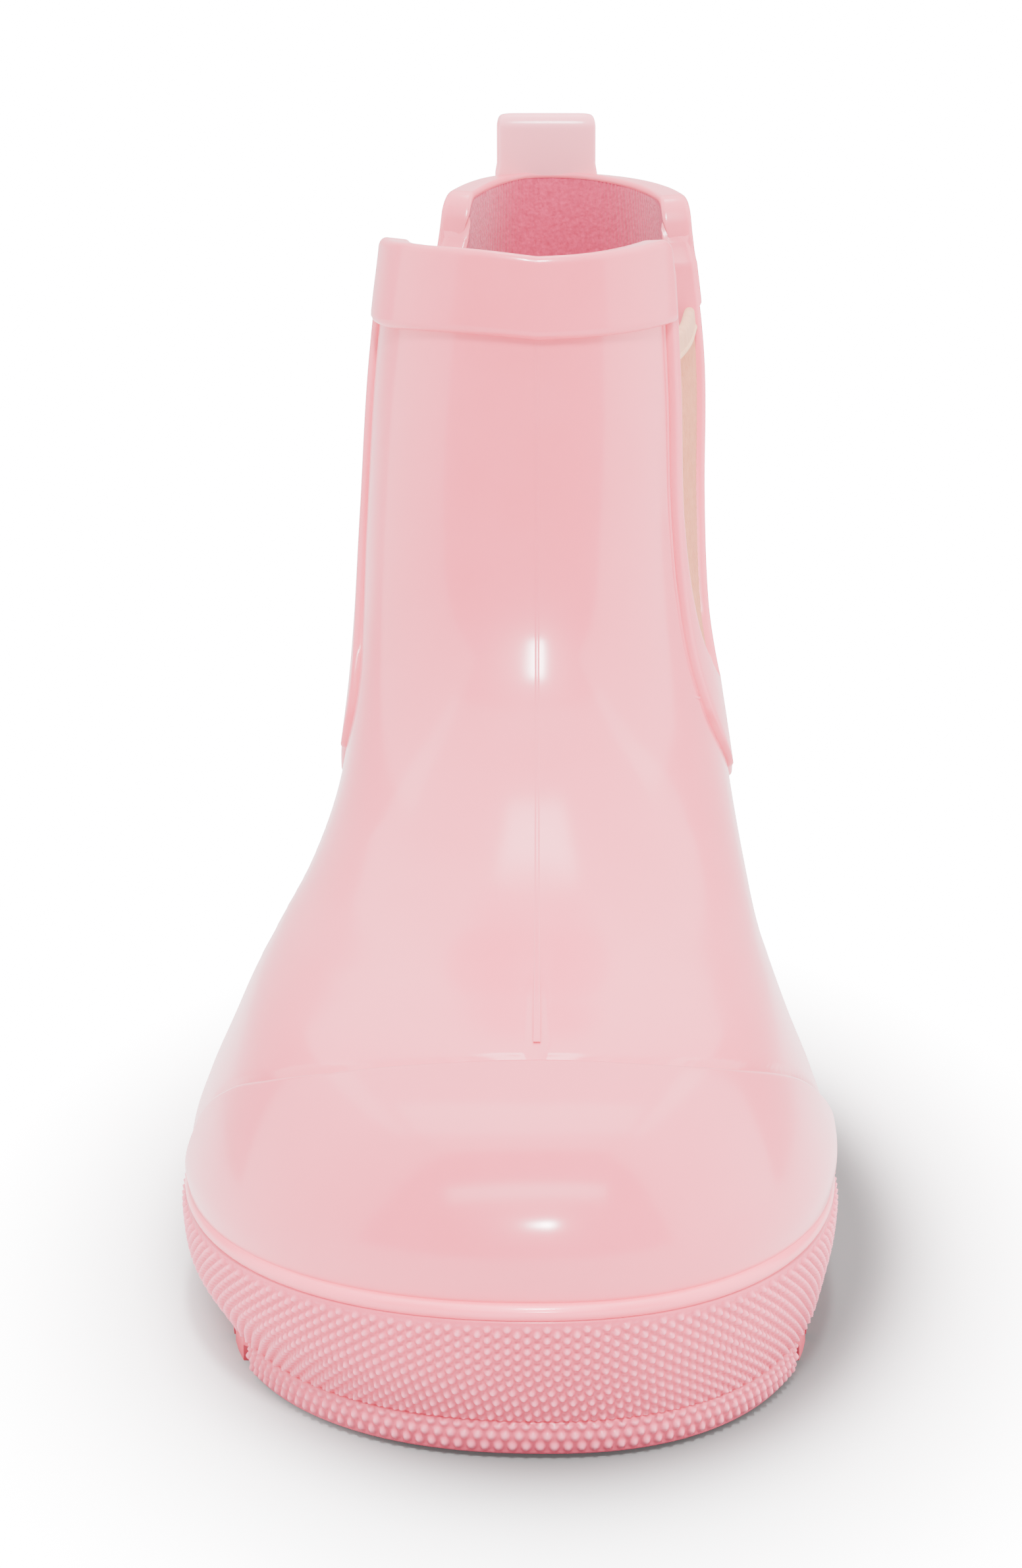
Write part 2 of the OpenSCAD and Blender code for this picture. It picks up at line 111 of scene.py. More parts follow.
def surf(v, u):
    """Outer surface in mm: u degrees round from the toe over the medial side, v levels up."""
    v, u = np.broadcast_arrays(np.asarray(v, float), np.asarray(u, float))
    q = level(v)
    yf, zf, yb, zb, yw, wl, wm, nf, nb, waist, yl = np.moveaxis(q, -1, 0)
    c, s = np.cos(np.radians(u)), np.sin(np.radians(u))
    yw = np.where(s < 0, yl, yw)
    front = c > 0
    e = 2 / np.where(front, nf, nb)
    y = np.where(front, yw - (yw - yf) * np.abs(c) ** e, yw + (yb - yw) * np.abs(c) ** e)
    t = np.where(front, 0, (y - yw) / (yb - yw))
    w = np.where(s > 0, wm, wl) * (1 + (KX - 1) * (1 - ease((v - 4) / 7)))
    x = np.sign(s) * w * np.abs(s) ** e * (1 - waist * ease(t) - 2 * waist * t * (1 - t))
    bend = np.where(s < 0, CURL * ease((v - 9.5) / 3.5) * 4 * t * (1 - t), 0)
    tilt = np.where(x > 0, 0.035 * x, 0.8 * np.sin(np.pi * np.clip(-x / 21, 0, 1)))
    tilt = (tilt - 0.3 * ease((-x - 18) / 3.5)) * ease((v - 11) / 2) * ease((60 - y) / 35)
    z = zf + (zb - zf) * (y - yf) / (yb - yf) + tilt
    return np.stack([x + 1.6 * ease(t) + bend, y * KY, z], -1)


def unit(a):
    """Vectors scaled to length 1."""
    return a / np.maximum(np.linalg.norm(a, axis=-1, keepdims=True), 1e-9)


def normal(v, u):
    """Outward direction of the surface."""
    h = np.where(np.asarray(v) > TOP - 0.02, -0.02, 0.02)
    du = surf(v, u + 0.4) - surf(v, u - 0.4)
    dv = (surf(v + h, u) - surf(v, u)) * np.sign(h)[..., None]
    return unit(np.cross(du, dv))


def skin(v, u, o):
    """Point o mm outside the surface, or inside it where o is negative."""
    v, u, o = np.broadcast_arrays(np.asarray(v, float), np.asarray(u, float),
                                  np.asarray(o, float))
    return surf(v, u) + o[..., None] * normal(v, u)


def u_at(y, v, s):
    """Angle where the surface is at y, on side s: 1 medial, -1 lateral."""
    q = level(v)
    yy = np.asarray(y, float) / KY
    yw, yf, yb, nf, nb = q[..., 10 if s < 0 else 4], q[..., 0], q[..., 2], q[..., 7], q[..., 8]
    front = yy < yw
    r = np.where(front, np.clip((yw - yy) / (yw - yf), 0, 1),
                 np.clip((yy - yw) / (yb - yw), 0, 1))
    a = np.degrees(np.arccos(r ** (np.where(front, nf, nb) / 2)))
    return s * np.where(front, a, 180 - a)


def smooth_interp(v, xs, ys, half=0.4):
    """Value at v on a line through points, with its corners rounded over half a level."""
    v = np.asarray(v, float)
    return sum(np.interp(v + d, xs, ys) for d in np.linspace(-half, half, 9)) / 9


def lip(d, r):
    """0 at an edge, 1 from r inwards, with a quarter-round between."""
    t = np.clip(np.asarray(d, float) / r, 0, 1)
    return np.sqrt(1 - (1 - t) ** 2)


# ------------------------------------------------------------------ edges of gores and frames
# levels, and the gores' front and rear edges in mm from the origin, 1 medial and -1 lateral;
# then the width of the frame strips before and behind them
GORE_V = [9.2, 10.3, 11.5, 13]
GORE_F = {1: [17.4, 17.8, 19, 20.6], -1: [20, 22, 26, 30]}
GORE_R = {1: [34, 42, 52, 60], -1: [36, 44, 54, 64]}
FRAME_V = [7.8, 8.3, 8.8, 9.3, 10.2, 11, 13]
FRAME_F = [1.5, 6.5, 8.8, 7.0, 3.2, 2.0, 1.9]
FRAME_R = [-3, 2.5, 5.5, 5.6, 3.2, 2.0, 1.9]
GORE_LOW = 9.22         # level of the gores' lowest point
U_HIGH = 0.75           # levels over which a gore's round lower end opens
GORE_MID = 26.5         # front-to-back position of that end
# rear edge of the toe cap: levels, and front-to-back position on either side
CAP_V = {1: [1.0, 1.7, 2.3, 2.9, 3.6, 4.5, 4.9, 5.06],
         -1: [1.0, 1.7, 2.9, 3.3, 3.8, 4.1, 4.6, 4.9, 5.06]}
CAP_EDGE = {1: [-28, -30.6, -35, -42.2, -52, -67.2, -72.6, -74.3],
            -1: [-45, -47.2, -49.2, -52.2, -58.8, -64, -70.6, -73.1, -74.3]}


def cap_edge(v, s):
    """Front-to-back position of the toe cap's rear edge."""
    return smooth_interp(v, CAP_V[s], CAP_EDGE[s], 0.08)


def gore_front(v, s):
    """Front-to-back position of a gore's front edge."""
    return smooth_interp(v, GORE_V, GORE_F[s])


def gore_rear(v, s):
    """Front-to-back position of a gore's rear edge."""
    return smooth_interp(v, GORE_V, GORE_R[s])


def edge_front(v, s):
    """Rear edge of the front panel: the gore's front edge, closing to its middle below it."""
    return GORE_MID + (gore_front(v, s) - GORE_MID) * lip(v - GORE_LOW, U_HIGH)


def edge_rear(v, s):
    """Front edge of the rear panel: the gore's rear edge, closing below it."""
    return GORE_MID + (gore_rear(v, s) - GORE_MID) * lip(v - GORE_LOW, U_HIGH)


def frame_front(v, s):
    """Front edge of the frame strip before a gore."""
    return gore_front(v, s) - smooth_interp(v, FRAME_V, FRAME_F, 0.25)


def frame_rear(v, s):
    """Rear edge of the frame strip behind a gore."""
    return gore_rear(v, s) + smooth_interp(v, FRAME_V, FRAME_R, 0.25)


# ------------------------------------------------------------------ mesh helpers
def obj_from(name, verts, faces, material, sharp=40):
    """Mesh object from points in mm; edges sharper than sharp degrees stay sharp."""
    me = bpy.data.meshes.new(name)
    me.from_pydata((np.asarray(verts) / 1000).tolist(), [], faces)
    me.validate()
    me.polygons.foreach_set("use_smooth", [True] * len(me.polygons))
    me.set_sharp_from_angle(angle=math.radians(sharp))
    me.update()
    ob = bpy.data.objects.new(name, me)
    bpy.context.collection.objects.link(ob)
    me.materials.append(material)
    return ob


def quads(rows, cols, wrap_c=False, wrap_r=False, flip=False, base=0):
    """Faces of a grid of points, closed on itself in either direction."""
    r = np.arange(rows if wrap_r else rows - 1)
    c = np.arange(cols if wrap_c else cols - 1)
    R, C = np.meshgrid(r, c, indexing="ij")
    a = R * cols + C
    b = R * cols + (C + 1) % cols
    d = ((R + 1) % rows) * cols + C
    e = ((R + 1) % rows) * cols + (C + 1) % cols
    q = np.stack([a, b, e, d], -1).reshape(-1, 4) + base
    return q[:, ::-1] if flip else q


def slab(name, outer, inner, material, wrap=False, sharp=40):
    """Closed solid between two grids of points of the same size; wrap joins the columns."""
    rows, cols = outer.shape[:2]
    n = rows * cols
    faces = [quads(rows, cols, wrap_c=wrap), quads(rows, cols, wrap_c=wrap, flip=True, base=n)]

    def strip(idx, closed):
        a = np.asarray(idx)
        b = np.roll(a, -1) if closed else a[1:]
        a2 = a if closed else a[:-1]
        return np.stack([a2, a2 + n, b + n, b], -1)

    grid = np.arange(n).reshape(rows, cols)
    faces.append(strip(grid[0], wrap))
    faces.append(strip(grid[-1][::-1], wrap))
    if not wrap:
        faces.append(strip(grid[::-1, 0], False))
        faces.append(strip(grid[:, -1], False))
    verts = np.concatenate([outer.reshape(-1, 3), inner.reshape(-1, 3)])
    return obj_from(name, verts, np.concatenate(faces).tolist(), material, sharp)


def sweep(name, secs, material, wrap=False, sharp=40):
    """Closed solid through sections; secs is (sections, points, 3)."""
    n, m = secs.shape[:2]
    faces = quads(n, m, wrap_c=True, wrap_r=wrap).tolist()
    if not wrap:
        faces.append(list(range(m))[::-1])
        faces.append([(n - 1) * m + k for k in range(m)])
    return obj_from(name, secs.reshape(-1, 3), faces, material, sharp)


def arc_length(p):
    """Length in mm from the first point of a line to each of its points."""
    return np.concatenate([[0], np.cumsum(np.linalg.norm(np.diff(p, axis=0), axis=1))])


def grid_length(P, axis):
    """The same along the rows (axis 1) or the columns (axis 0) of a grid of points."""
    steps = np.linalg.norm(np.diff(P, axis=axis), axis=2)
    return np.insert(np.cumsum(steps, axis), 0, 0.0, axis)


def even(v0, v1, step):
    """Levels between v0 and v1 spaced about step mm apart, measured up the front."""
    vs = np.linspace(v0, v1, 400)
    s = arc_length(surf(vs, np.zeros_like(vs)))
    return np.interp(np.linspace(0, s[-1], max(4, int(s[-1] / step))), s, vs)


def ripple(p, size, amp):
    """Slow unevenness of moulded rubber, in mm."""
    x, y, z = (p / size).transpose(-1, *range(p.ndim - 1))
    return amp * (np.sin(1.7 * x + 1.3 * np.sin(0.9 * z)) * np.cos(1.3 * y + 0.7 * z)
                  + 0.6 * np.sin(2.3 * z + 1.1 * x) * np.sin(1.9 * y)) / 1.6


# ------------------------------------------------------------------ materials
def srgb(r, g, b):
    """Linear colour from 8-bit values."""
    c = np.array([r, g, b]) / 255
    c = np.where(c <= 0.04045, c / 12.92, ((c + 0.055) / 1.055) ** 2.4)
    return (float(c[0]), float(c[1]), float(c[2]), 1)


def material(name, colour, deep, rough, scale, bump=0.1, fine=900, coat=0.0, sheen=0.0,
             subsurface=0.0, weave=None, relief=None):
    """Surface that varies slowly from colour to deep, with a fine grain or a weave on it."""
    m = bpy.data.materials.new(name)
    m.use_nodes = True
    nt = m.node_tree
    nt.nodes.clear()
    out = nt.nodes.new("ShaderNodeOutputMaterial")
    b = nt.nodes.new("ShaderNodeBsdfPrincipled")
    nt.links.new(b.outputs[0], out.inputs[0])
    tc = nt.nodes.new("ShaderNodeTexCoord")
    n1 = nt.nodes.new("ShaderNodeTexNoise")
    n1.inputs["Scale"].default_value = scale
    n1.inputs["Detail"].default_value = 4
    nt.links.new(tc.outputs["Object"], n1.inputs["Vector"])
    ramp = nt.nodes.new("ShaderNodeValToRGB")
    ramp.color_ramp.elements[0].position = 0.25
    ramp.color_ramp.elements[1].position = 0.75
    ramp.color_ramp.elements[0].color = deep
    ramp.color_ramp.elements[1].color = colour
    nt.links.new(n1.outputs["Fac"], ramp.inputs["Fac"])
    shade = ramp.outputs["Color"]
    if relief:          # painted highlight: the stud tops are painted lighter than the ground between them, standing in for light on the domes
        attr = nt.nodes.new("ShaderNodeAttribute")
        attr.attribute_name = "relief"
        blend = nt.nodes.new("ShaderNodeMixRGB")
        blend.inputs["Color2"].default_value = relief
        nt.links.new(attr.outputs["Fac"], blend.inputs["Fac"])
        nt.links.new(shade, blend.inputs["Color1"])
        shade = blend.outputs["Color"]
    nt.links.new(shade, b.inputs["Base Color"])
    n2 = nt.nodes.new("ShaderNodeTexNoise")
    n2.inputs["Scale"].default_value = fine
    n2.inputs["Detail"].default_value = 3
    nt.links.new(tc.outputs["Object"], n2.inputs["Vector"])
    mr = nt.nodes.new("ShaderNodeMapRange")
    mr.inputs["To Min"].default_value = rough - 0.05
    mr.inputs["To Max"].default_value = rough + 0.07
    nt.links.new(n1.outputs["Fac"], mr.inputs["Value"])
    nt.links.new(mr.outputs["Result"], b.inputs["Roughness"])
    bp = nt.nodes.new("ShaderNodeBump")
    bp.inputs["Strength"].default_value = bump
    bp.inputs["Distance"].default_value = 0.0001
    height = n2.outputs["Fac"]
    if weave:
        w1 = nt.nodes.new("ShaderNodeTexVoronoi")
        w1.inputs["Scale"].default_value = weave
        nt.links.new(tc.outputs["Object"], w1.inputs["Vector"])
        mix = nt.nodes.new("ShaderNodeMath")
        mix.operation = "ADD"
        nt.links.new(w1.outputs["Distance"], mix.inputs[0])
        nt.links.new(n2.outputs["Fac"], mix.inputs[1])
        height = mix.outputs[0]
    nt.links.new(height, bp.inputs["Height"])
    nt.links.new(bp.outputs["Normal"], b.inputs["Normal"])
    b.inputs["Coat Weight"].default_value = coat
    b.inputs["Coat Roughness"].default_value = 0.15
    b.inputs["Sheen Weight"].default_value = sheen
    b.inputs["Specular IOR Level"].default_value = 0.5 if coat else 0.2
    b.inputs["Subsurface Weight"].default_value = subsurface
    b.inputs["Subsurface Radius"].default_value = (0.004, 0.0018, 0.0016)
    b.inputs["Subsurface Scale"].default_value = 1.0
    b.inputs["IOR"].default_value = 1.5
    return m


M_SHELL = material("shell_pink", srgb(237, 99, 120), srgb(233, 93, 114), 0.46, 60,
                   bump=0.06, fine=1400, coat=0.75, subsurface=0.05)
M_TRIM = material("trim_pink", srgb(237, 98, 119), srgb(232, 91, 112), 0.48, 70,
                  bump=0.06, fine=1400, coat=0.5, subsurface=0.05)
# the last colour of the studs is a painted highlight, laid on the stud tops
M_STUDS = material("stud_pink", srgb(226, 84, 111), srgb(218, 76, 103), 0.5, 90,
                   bump=0.1, fine=1600, coat=0.15, relief=srgb(243, 136, 157))
M_TREAD = material("tread_pink", srgb(228, 90, 110), srgb(216, 78, 98), 0.55, 90,
                   bump=0.15, fine=1500)
M_LINING = material("lining_rose", srgb(210, 70, 108), srgb(186, 52, 86), 0.85, 1400,
                    bump=0.6, fine=2600, sheen=0.3, weave=1700)
M_GORE = material("gore_cream", srgb(206, 126, 94), srgb(192, 111, 80), 0.85, 500,
                  bump=0.5, fine=2600, sheen=0.05, weave=1500)
M_HEM = material("hem_cream", srgb(218, 158, 128), srgb(204, 142, 112), 0.85, 400,
                 bump=0.45, fine=2600, sheen=0.05, weave=1700)
# painted light: the tab and its anchor get a lighter pink than the shell, standing in for the light
# that falls on the tab
M_TAB = material("tab_pink", srgb(251, 150, 164), srgb(248, 142, 157), 0.5, 70,
                 bump=0.08, fine=1400, coat=0.3, subsurface=0.05)
M_THREAD = material("thread_cream", srgb(226, 178, 146), srgb(214, 164, 132), 0.75, 900,
                    bump=0.3, fine=3000)
M_FOOTBED = material("footbed_rose", srgb(214, 130, 150), srgb(196, 108, 130), 0.9, 260,
                     bump=0.5, fine=2400, sheen=0.3, weave=1100)
M_BOARD = material("board_fibre", srgb(186, 160, 124), srgb(160, 132, 98), 0.9, 220,
                   bump=0.4, fine=1500)
M_FILLER = material("filler_grey", srgb(120, 112, 110), srgb(96, 90, 88), 0.9, 300,
                    bump=0.5, fine=1200)


def flex(ob):
    """Bakes the object's placement into its mesh."""
    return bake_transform(ob)


def stand_for(ob, slot, *nodes):
    """Hides the CAD parts that a piece is shown instead of; slot, the finish, is not used."""
    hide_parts(*nodes)
    return ob


# ------------------------------------------------------------------ rubber foot and shaft
RIM_U = np.linspace(-180, 540, 2881)
RIM_S = arc_length(surf(TOP, RIM_U))


def round_corner(P, u, ends, r):
    """Lowers the rim towards the ends of a band, so its top corners are rounded."""
    here = np.interp(u, RIM_U, RIM_S)
    rim_z = np.interp(u, RIM_U, surf(TOP, RIM_U)[:, 2])
    drop = 0
    for e in ends:
        d = np.clip(np.abs(here - np.interp(e, RIM_U, RIM_S)), 0, r)
        inside = (here - np.interp(e, RIM_U, RIM_S)) * (1 if e == min(ends) else -1)
        d = np.where(inside < 0, 0, d)
        drop = drop + r - np.sqrt(np.maximum(r * r - (r - d) ** 2, 0))
    share = np.clip((P[..., 2] - (rim_z - 1.6 * r)) / (1.6 * r), 0, 1.15)
    out = P.copy()
    out[..., 2] -= drop * share
    return out


def panel(name, v, ua, ub, cols, out, inn, mat, cluster=0.0, lift=None, post=None):
    """Patch over levels v and between angles ua(v) and ub(v)."""
    a = np.linspace(0, 1, cols)
    if cluster:
        a = (1 - cluster) * a + cluster * (0.5 - 0.5 * np.cos(np.pi * a))
    U = ua[:, None] + (ub - ua)[:, None] * a[None]
    V = np.repeat(v[:, None], cols, 1)
    base = surf(V, U)
    N = normal(V, U)
    o = out(V, U, base) if callable(out) else np.full(V.shape, float(out))
    i = inn(V, U, base) if callable(inn) else np.full(V.shape, float(inn))
    a, b = base + o[..., None] * N, base + i[..., None] * N
    if lift is not None:
        a[..., 2] += lift[:, None]
        b[..., 2] += lift[:, None]
    if post:
        a, b = post(a, U), post(b, U)
    return slab(name, a, b, mat)


def rear_ends(v):
    """Angles of the rear band's two ends at a level: just past the gores' rear edges."""
    return (float(u_at(gore_rear(v, 1) - 0.2, v, 1)),
            360 + float(u_at(gore_rear(v, -1) - 0.2, v, -1)))


FRONT_ENDS = tuple(float(u_at(GORE_F[s][-1] - 0.5, TOP, s)) for s in (-1, 1))
REAR_ENDS = rear_ends(TOP)


def front_corners(P, u):
    """Rounds the two top corners of the front of the shaft."""
    return round_corner(P, u, FRONT_ENDS, np.where(u < 0, 4.0, 2.4))


def rear_corners(P, u):
    """Rounds the two top corners of the rear of the shaft."""
    return round_corner(P, np.where(u < 0, u + 360, u), REAR_ENDS, 5.0)


V_SKIN = even(0.3, TOP - 0.02, 0.75)


def mm_per_degree(v, u):
    """How far the surface runs for one degree of angle."""
    return np.linalg.norm(surf(v, u + 0.5) - surf(v, u - 0.5), axis=-1)


def groove(V, U, line, deep=0.3, half=0.45):
    """Shallow moulded channel along a line of angles, in mm."""
    cut = 0
    for s in (1, -1):
        ul = u_at(line(V, s), V, s)
        ul = np.where(U > 180, ul + 360, ul) if s < 0 else ul
        d = (U - ul) * mm_per_degree(V, ul)
        cut = cut + deep * np.exp(-(d / half) ** 2) * ease((V - 7.85) / 0.15)
    return cut


near_cap = np.linspace(4.9, 5.3, 200)
cap_v1 = float(np.interp(CAP_EDGE[1][-1], level(near_cap)[:, 0], near_cap))
line_v = cap_v1 - (cap_v1 - 1.0) * np.linspace(1, 0, 160) ** 2
CAP_LINE = np.concatenate([surf(line_v, u_at(cap_edge(line_v, -1), line_v, -1)),
                           surf(line_v, u_at(cap_edge(line_v, 1), line_v, 1))[::-1]])


def from_line(P, line):
    """Distance in mm of each point of a grid from a line of points."""
    tangent = unit(np.gradient(line, axis=0))
    out = np.empty(P.shape[:2])
    for k, row in enumerate(P):
        gap = row[:, None] - line[None]
        near = (gap ** 2).sum(-1).argmin(1)
        g = gap[np.arange(len(row)), near]
        t = tangent[near]
        out[k] = np.linalg.norm(g - (g * t).sum(-1, keepdims=True) * t, axis=-1)
    return out


def skin_out(V, U, P):
    """Outer face of the rubber: uneven, with channels along the frames and the toe cap."""
    line = frame_front if U.min() < 0 else frame_rear
    off = -0.35 if U.min() < 0 else 0.35
    cut = groove(V, U, lambda v, s: line(v, s) + off)
    low = V[:, 0] < 6.5
    if U.min() < 0:
        d = from_line(P[low], CAP_LINE)
        cut[low] += 0.35 * np.exp(-((d - 0.5) / 0.5) ** 2)
    return ripple(P, *ROUGH) - cut


shell_front = panel(
    "shell_front", V_SKIN, u_at(edge_front(V_SKIN, -1), V_SKIN, -1),
    u_at(edge_front(V_SKIN, 1), V_SKIN, 1), 300, skin_out, -SHELL, M_SHELL,
    post=front_corners)
stand_for(flex(shell_front), "shell_rubber", "front_shaft_panel")
shell_rear = panel(
    "shell_rear", V_SKIN, u_at(edge_rear(V_SKIN, 1), V_SKIN, 1),
    360 + u_at(edge_rear(V_SKIN, -1), V_SKIN, -1), 260, skin_out, -SHELL, M_SHELL,
    post=rear_corners)
stand_for(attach(shell_rear, "boot"), "shell_rubber", "foot_shell", "rear_shaft_panel")

# ------------------------------------------------------------------ overlays on the rubber
SINK = 0.25             # how far an overlay's edge runs down into the rubber


def overlay(name, v, ua, ub, cols, mat, height=OVERLAY, edge=0.8, low=True):
    """Thin layer on the rubber with rounded edges; its low end is plain unless low is set."""
    def out(V, U, P):
        across, along = grid_length(P, 1), grid_length(P, 0)
        d = np.minimum(across, across[:, -1:] - across)
        d = np.minimum(d, along[-1:] - along)
        if low:
            d = np.minimum(d, along)
        return ripple(P, *ROUGH) - SINK + (height + SINK) * lip(d, edge)
    return panel(name, v, ua, ub, cols, out, -0.6, mat, cluster=0.8)


def refine_ends(v0, v1, step):
    """Levels with closer rows near both ends, for the rounded edges."""
    v = even(v0, v1, step)
    t = np.linspace(0, 1, 9)[1:-1] ** 1.5
    a = v0 + (v[2] - v0) * t
    b = v1 - (v1 - v[-3]) * t[::-1]
    return np.concatenate([[v0], a, v[2:-2], b, [v1]])


cap_v = cap_v1 - (cap_v1 - 1.0) * (1 - np.linspace(0, 1, 130)) ** 2


def cap_out(V, U, P):
    """Outer face of the toe cap, rounded down at its rear edge."""
    return ripple(P, *ROUGH) - 0.3 + (0.5 + OVERLAY) * lip(from_line(P, CAP_LINE), 1.0)


toe_cap = panel("toe_cap", cap_v, u_at(cap_edge(cap_v, -1), cap_v, -1),
                u_at(cap_edge(cap_v, 1), cap_v, 1), 260, cap_out, -0.6, M_SHELL, cluster=0.9)
stand_for(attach(toe_cap, "boot"), "shell_rubber", "toe_cap")

HC_LOW, HC_HIGH = 1.0, 6.4                     # levels of the heel counter
HC_WIDE, HC_NARROW = 134, 156                  # angle of its edge at those levels
hc_v = refine_ends(HC_LOW, HC_HIGH, 0.8)
hc_a = HC_WIDE + (HC_NARROW - HC_WIDE) * ((hc_v - HC_LOW) / (HC_HIGH - HC_LOW)) ** 2
heel_counter = overlay("heel_counter", hc_v, hc_a, 360 - hc_a, 180, M_SHELL, edge=1.2,
                       low=False)
stand_for(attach(heel_counter, "boot"), "shell_rubber", "heel_counter")


def wrap(name, v, s, edge_y, flange_y, corners):
    """Raised strip on the rubber beside a gore, rounded over the panel's edge and turned in."""
    ue, uf = u_at(edge_y(v, s), v, s), u_at(flange_y(v, s), v, s)
    g = mm_per_degree(v, ue)
    way = np.sign(uf - ue)
    wide = np.maximum(np.abs(uf - ue) * g, 0.9)
    deep = ease((v - 9.12) / 0.35)
    h = OVERLAY + 0.1
    rise = lip((v - v[0]) * 8 + 0.02, 0.9)
    # section, as distance from the panel's edge and height over the rubber: the flange's
    # rounded outer edge, its flat top, the turn over the panel's edge, and the way back inside
    sec = [(wide, -0.3), (wide - 0.05, 0.05), (wide - 0.2, 0.35), (wide - 0.45, 0.62),
           (wide - 0.8, h - 0.06), (wide - 1.15, h)]
    sec += [(t * (wide - 1.5) + 0.35, h + 0.05 * (1 - t)) for t in np.linspace(0.85, 0, 6)]
    for k in np.linspace(15, 90, 6):
        q = math.radians(k)
        sec.append((0.35 - 0.85 * math.sin(q), h + 0.05 - 1.0 * (1 - math.cos(q))))
    low = -0.9 - 2.5 * deep
    sec += [(-0.5, t * (low + 0.8) + (1 - t) * -0.3) for t in np.linspace(0.15, 1, 6)]
    for k in np.linspace(20, 160, 8):
        q = math.radians(k)
        sec.append((0.3 - 0.8 * math.cos(q), low + 0.8 - 0.75 * deep * math.sin(q)))
    sec += [(1.15, low + 1.2), (1.2, -1.2), (wide * 0.5 + 0.6, -0.8)]
    pts = np.zeros((len(v), len(sec), 3))
    for k, (d, o) in enumerate(sec):
        d = np.broadcast_to(d, v.shape)
        o = np.broadcast_to(o, v.shape)
        o = np.where(o > 0, o * rise, o)
        u = ue + way * d / g
        p = skin(v, u, o) + ripple(surf(v, u), *ROUGH)[:, None] * normal(v, u)
        pts[:, k] = corners(p, u)
    return sweep(name, pts, M_TRIM, sharp=70)


for s, side in ((1, "medial"), (-1, "lateral")):
    fv = refine_ends(7.9, TOP - 0.01, 0.6)
    front = wrap("gore_frame_front_" + side, fv, s, edge_front, frame_front, front_corners)
    stand_for(flex(front), "trim_rubber", "frame_front_" + side, "frame_base_" + side)
    rear = wrap("gore_frame_rear_" + side, fv, s, edge_rear, frame_rear, rear_corners)
    stand_for(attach(rear, "boot"), "trim_rubber", "frame_rear_" + side)

# ------------------------------------------------------------------ collar bands
def collar(name, ends, low, cols, corners, ends_at=None):
    """Band round the rim: outer wall and rounded rim, closed against the lining."""
    u = np.linspace(*ends, cols)
    s = arc_length(surf(TOP, u))
    t = np.concatenate([np.linspace(0, 0.06, 14)[:-1], np.linspace(0.06, 0.94, cols),
                        np.linspace(0.94, 1, 14)[1:]])
    s_new = t * s[-1]
    u = np.interp(s_new, s, u)
    end = np.minimum(s_new, s[-1] - s_new)
    o = GAP + OVERLAY + 0.35
    i = -SHELL - LINING - GAP - 0.15
    # section, as level, height over the rubber and height over the level
    pts = [(low, -0.1, 0), (low, 0.45, 0), (low + 0.01, o - 0.3, 0), (low + 0.03, o - 0.04, 0)]
    pts += [(low + 0.06 + (TOP - low - 0.06) * t, o, 0) for t in np.linspace(0, 1, 16)]
    for k in np.linspace(0, 90, 9)[1:]:
        c, q = math.cos(math.radians(k)), math.sin(math.radians(k))
        pts.append((TOP, o - 1.2 * (1 - c), RIM_H * q))
    for k in np.linspace(90, 180, 9):
        c, q = math.cos(math.radians(k)), math.sin(math.radians(k))
        pts.append((TOP, i + 0.7 * (1 + c), RIM_H - 0.7 * (1 - q)))
    pts += [(TOP, i + 0.05, 0.5), (TOP, i + 0.5, 0.35), (TOP, -SHELL, 0.3), (TOP - 0.02, -0.3, 0)]
    secs = np.zeros((len(u), len(pts), 3))
    for k, (v, off, dz) in enumerate(pts):
        vv = np.full_like(u, v)
        w = u
        if ends_at:
            a, b = ends_at(v)
            w = a + (b - a) * (u - ends[0]) / (ends[1] - ends[0])
        p = skin(vv, w, off) + ripple(surf(vv, w), 9, 0.08)[:, None] * normal(vv, w)
        p[:, 2] += dz
        secs[:, k] = corners(p, w)
    uu = np.full_like(u, TOP - 0.1)
    mid = 0.5 * (secs[:, 10] + corners(skin(uu, u, i), u))[:, None]
    nn = normal(uu, u)[:, None]
    k = lip(end + 0.02, 1.3)[:, None, None]
    thick = ((secs - mid) * nn).sum(-1, keepdims=True)
    secs = secs - thick * nn * (1 - k) * 0.45
    return sweep(name, secs, M_TRIM, sharp=50)


band_front = collar("collar_band_front", FRONT_ENDS, TOP - BAND_H / FRONT_STEP, 150, front_corners)
stand_for(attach(band_front, "front_shaft"), "trim_rubber", "front_collar_band")
band_rear = collar("collar_band_rear", REAR_ENDS, TOP - REAR_BAND_H / REAR_STEP, 170, rear_corners,
                   rear_ends)
stand_for(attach(band_rear, "boot"), "trim_rubber", "rear_collar_band")

# ------------------------------------------------------------------ lining
def knit(P, U, pitch_u=0.95, pitch_z=0.8, amp=0.1):
    """Wales and courses of a knit, in mm, from arc length round the boot and height."""
    across = grid_length(P, 1)
    across = across - across[:, [across.shape[1] // 2]]
    a = across / pitch_u * 2 * np.pi
    z = P[..., 2] / pitch_z * 2 * np.pi
    return amp * (np.abs(np.cos(a / 2)) ** 0.7 - 0.5 + 0.35 * np.sin(z + 1.8 * np.cos(a)))


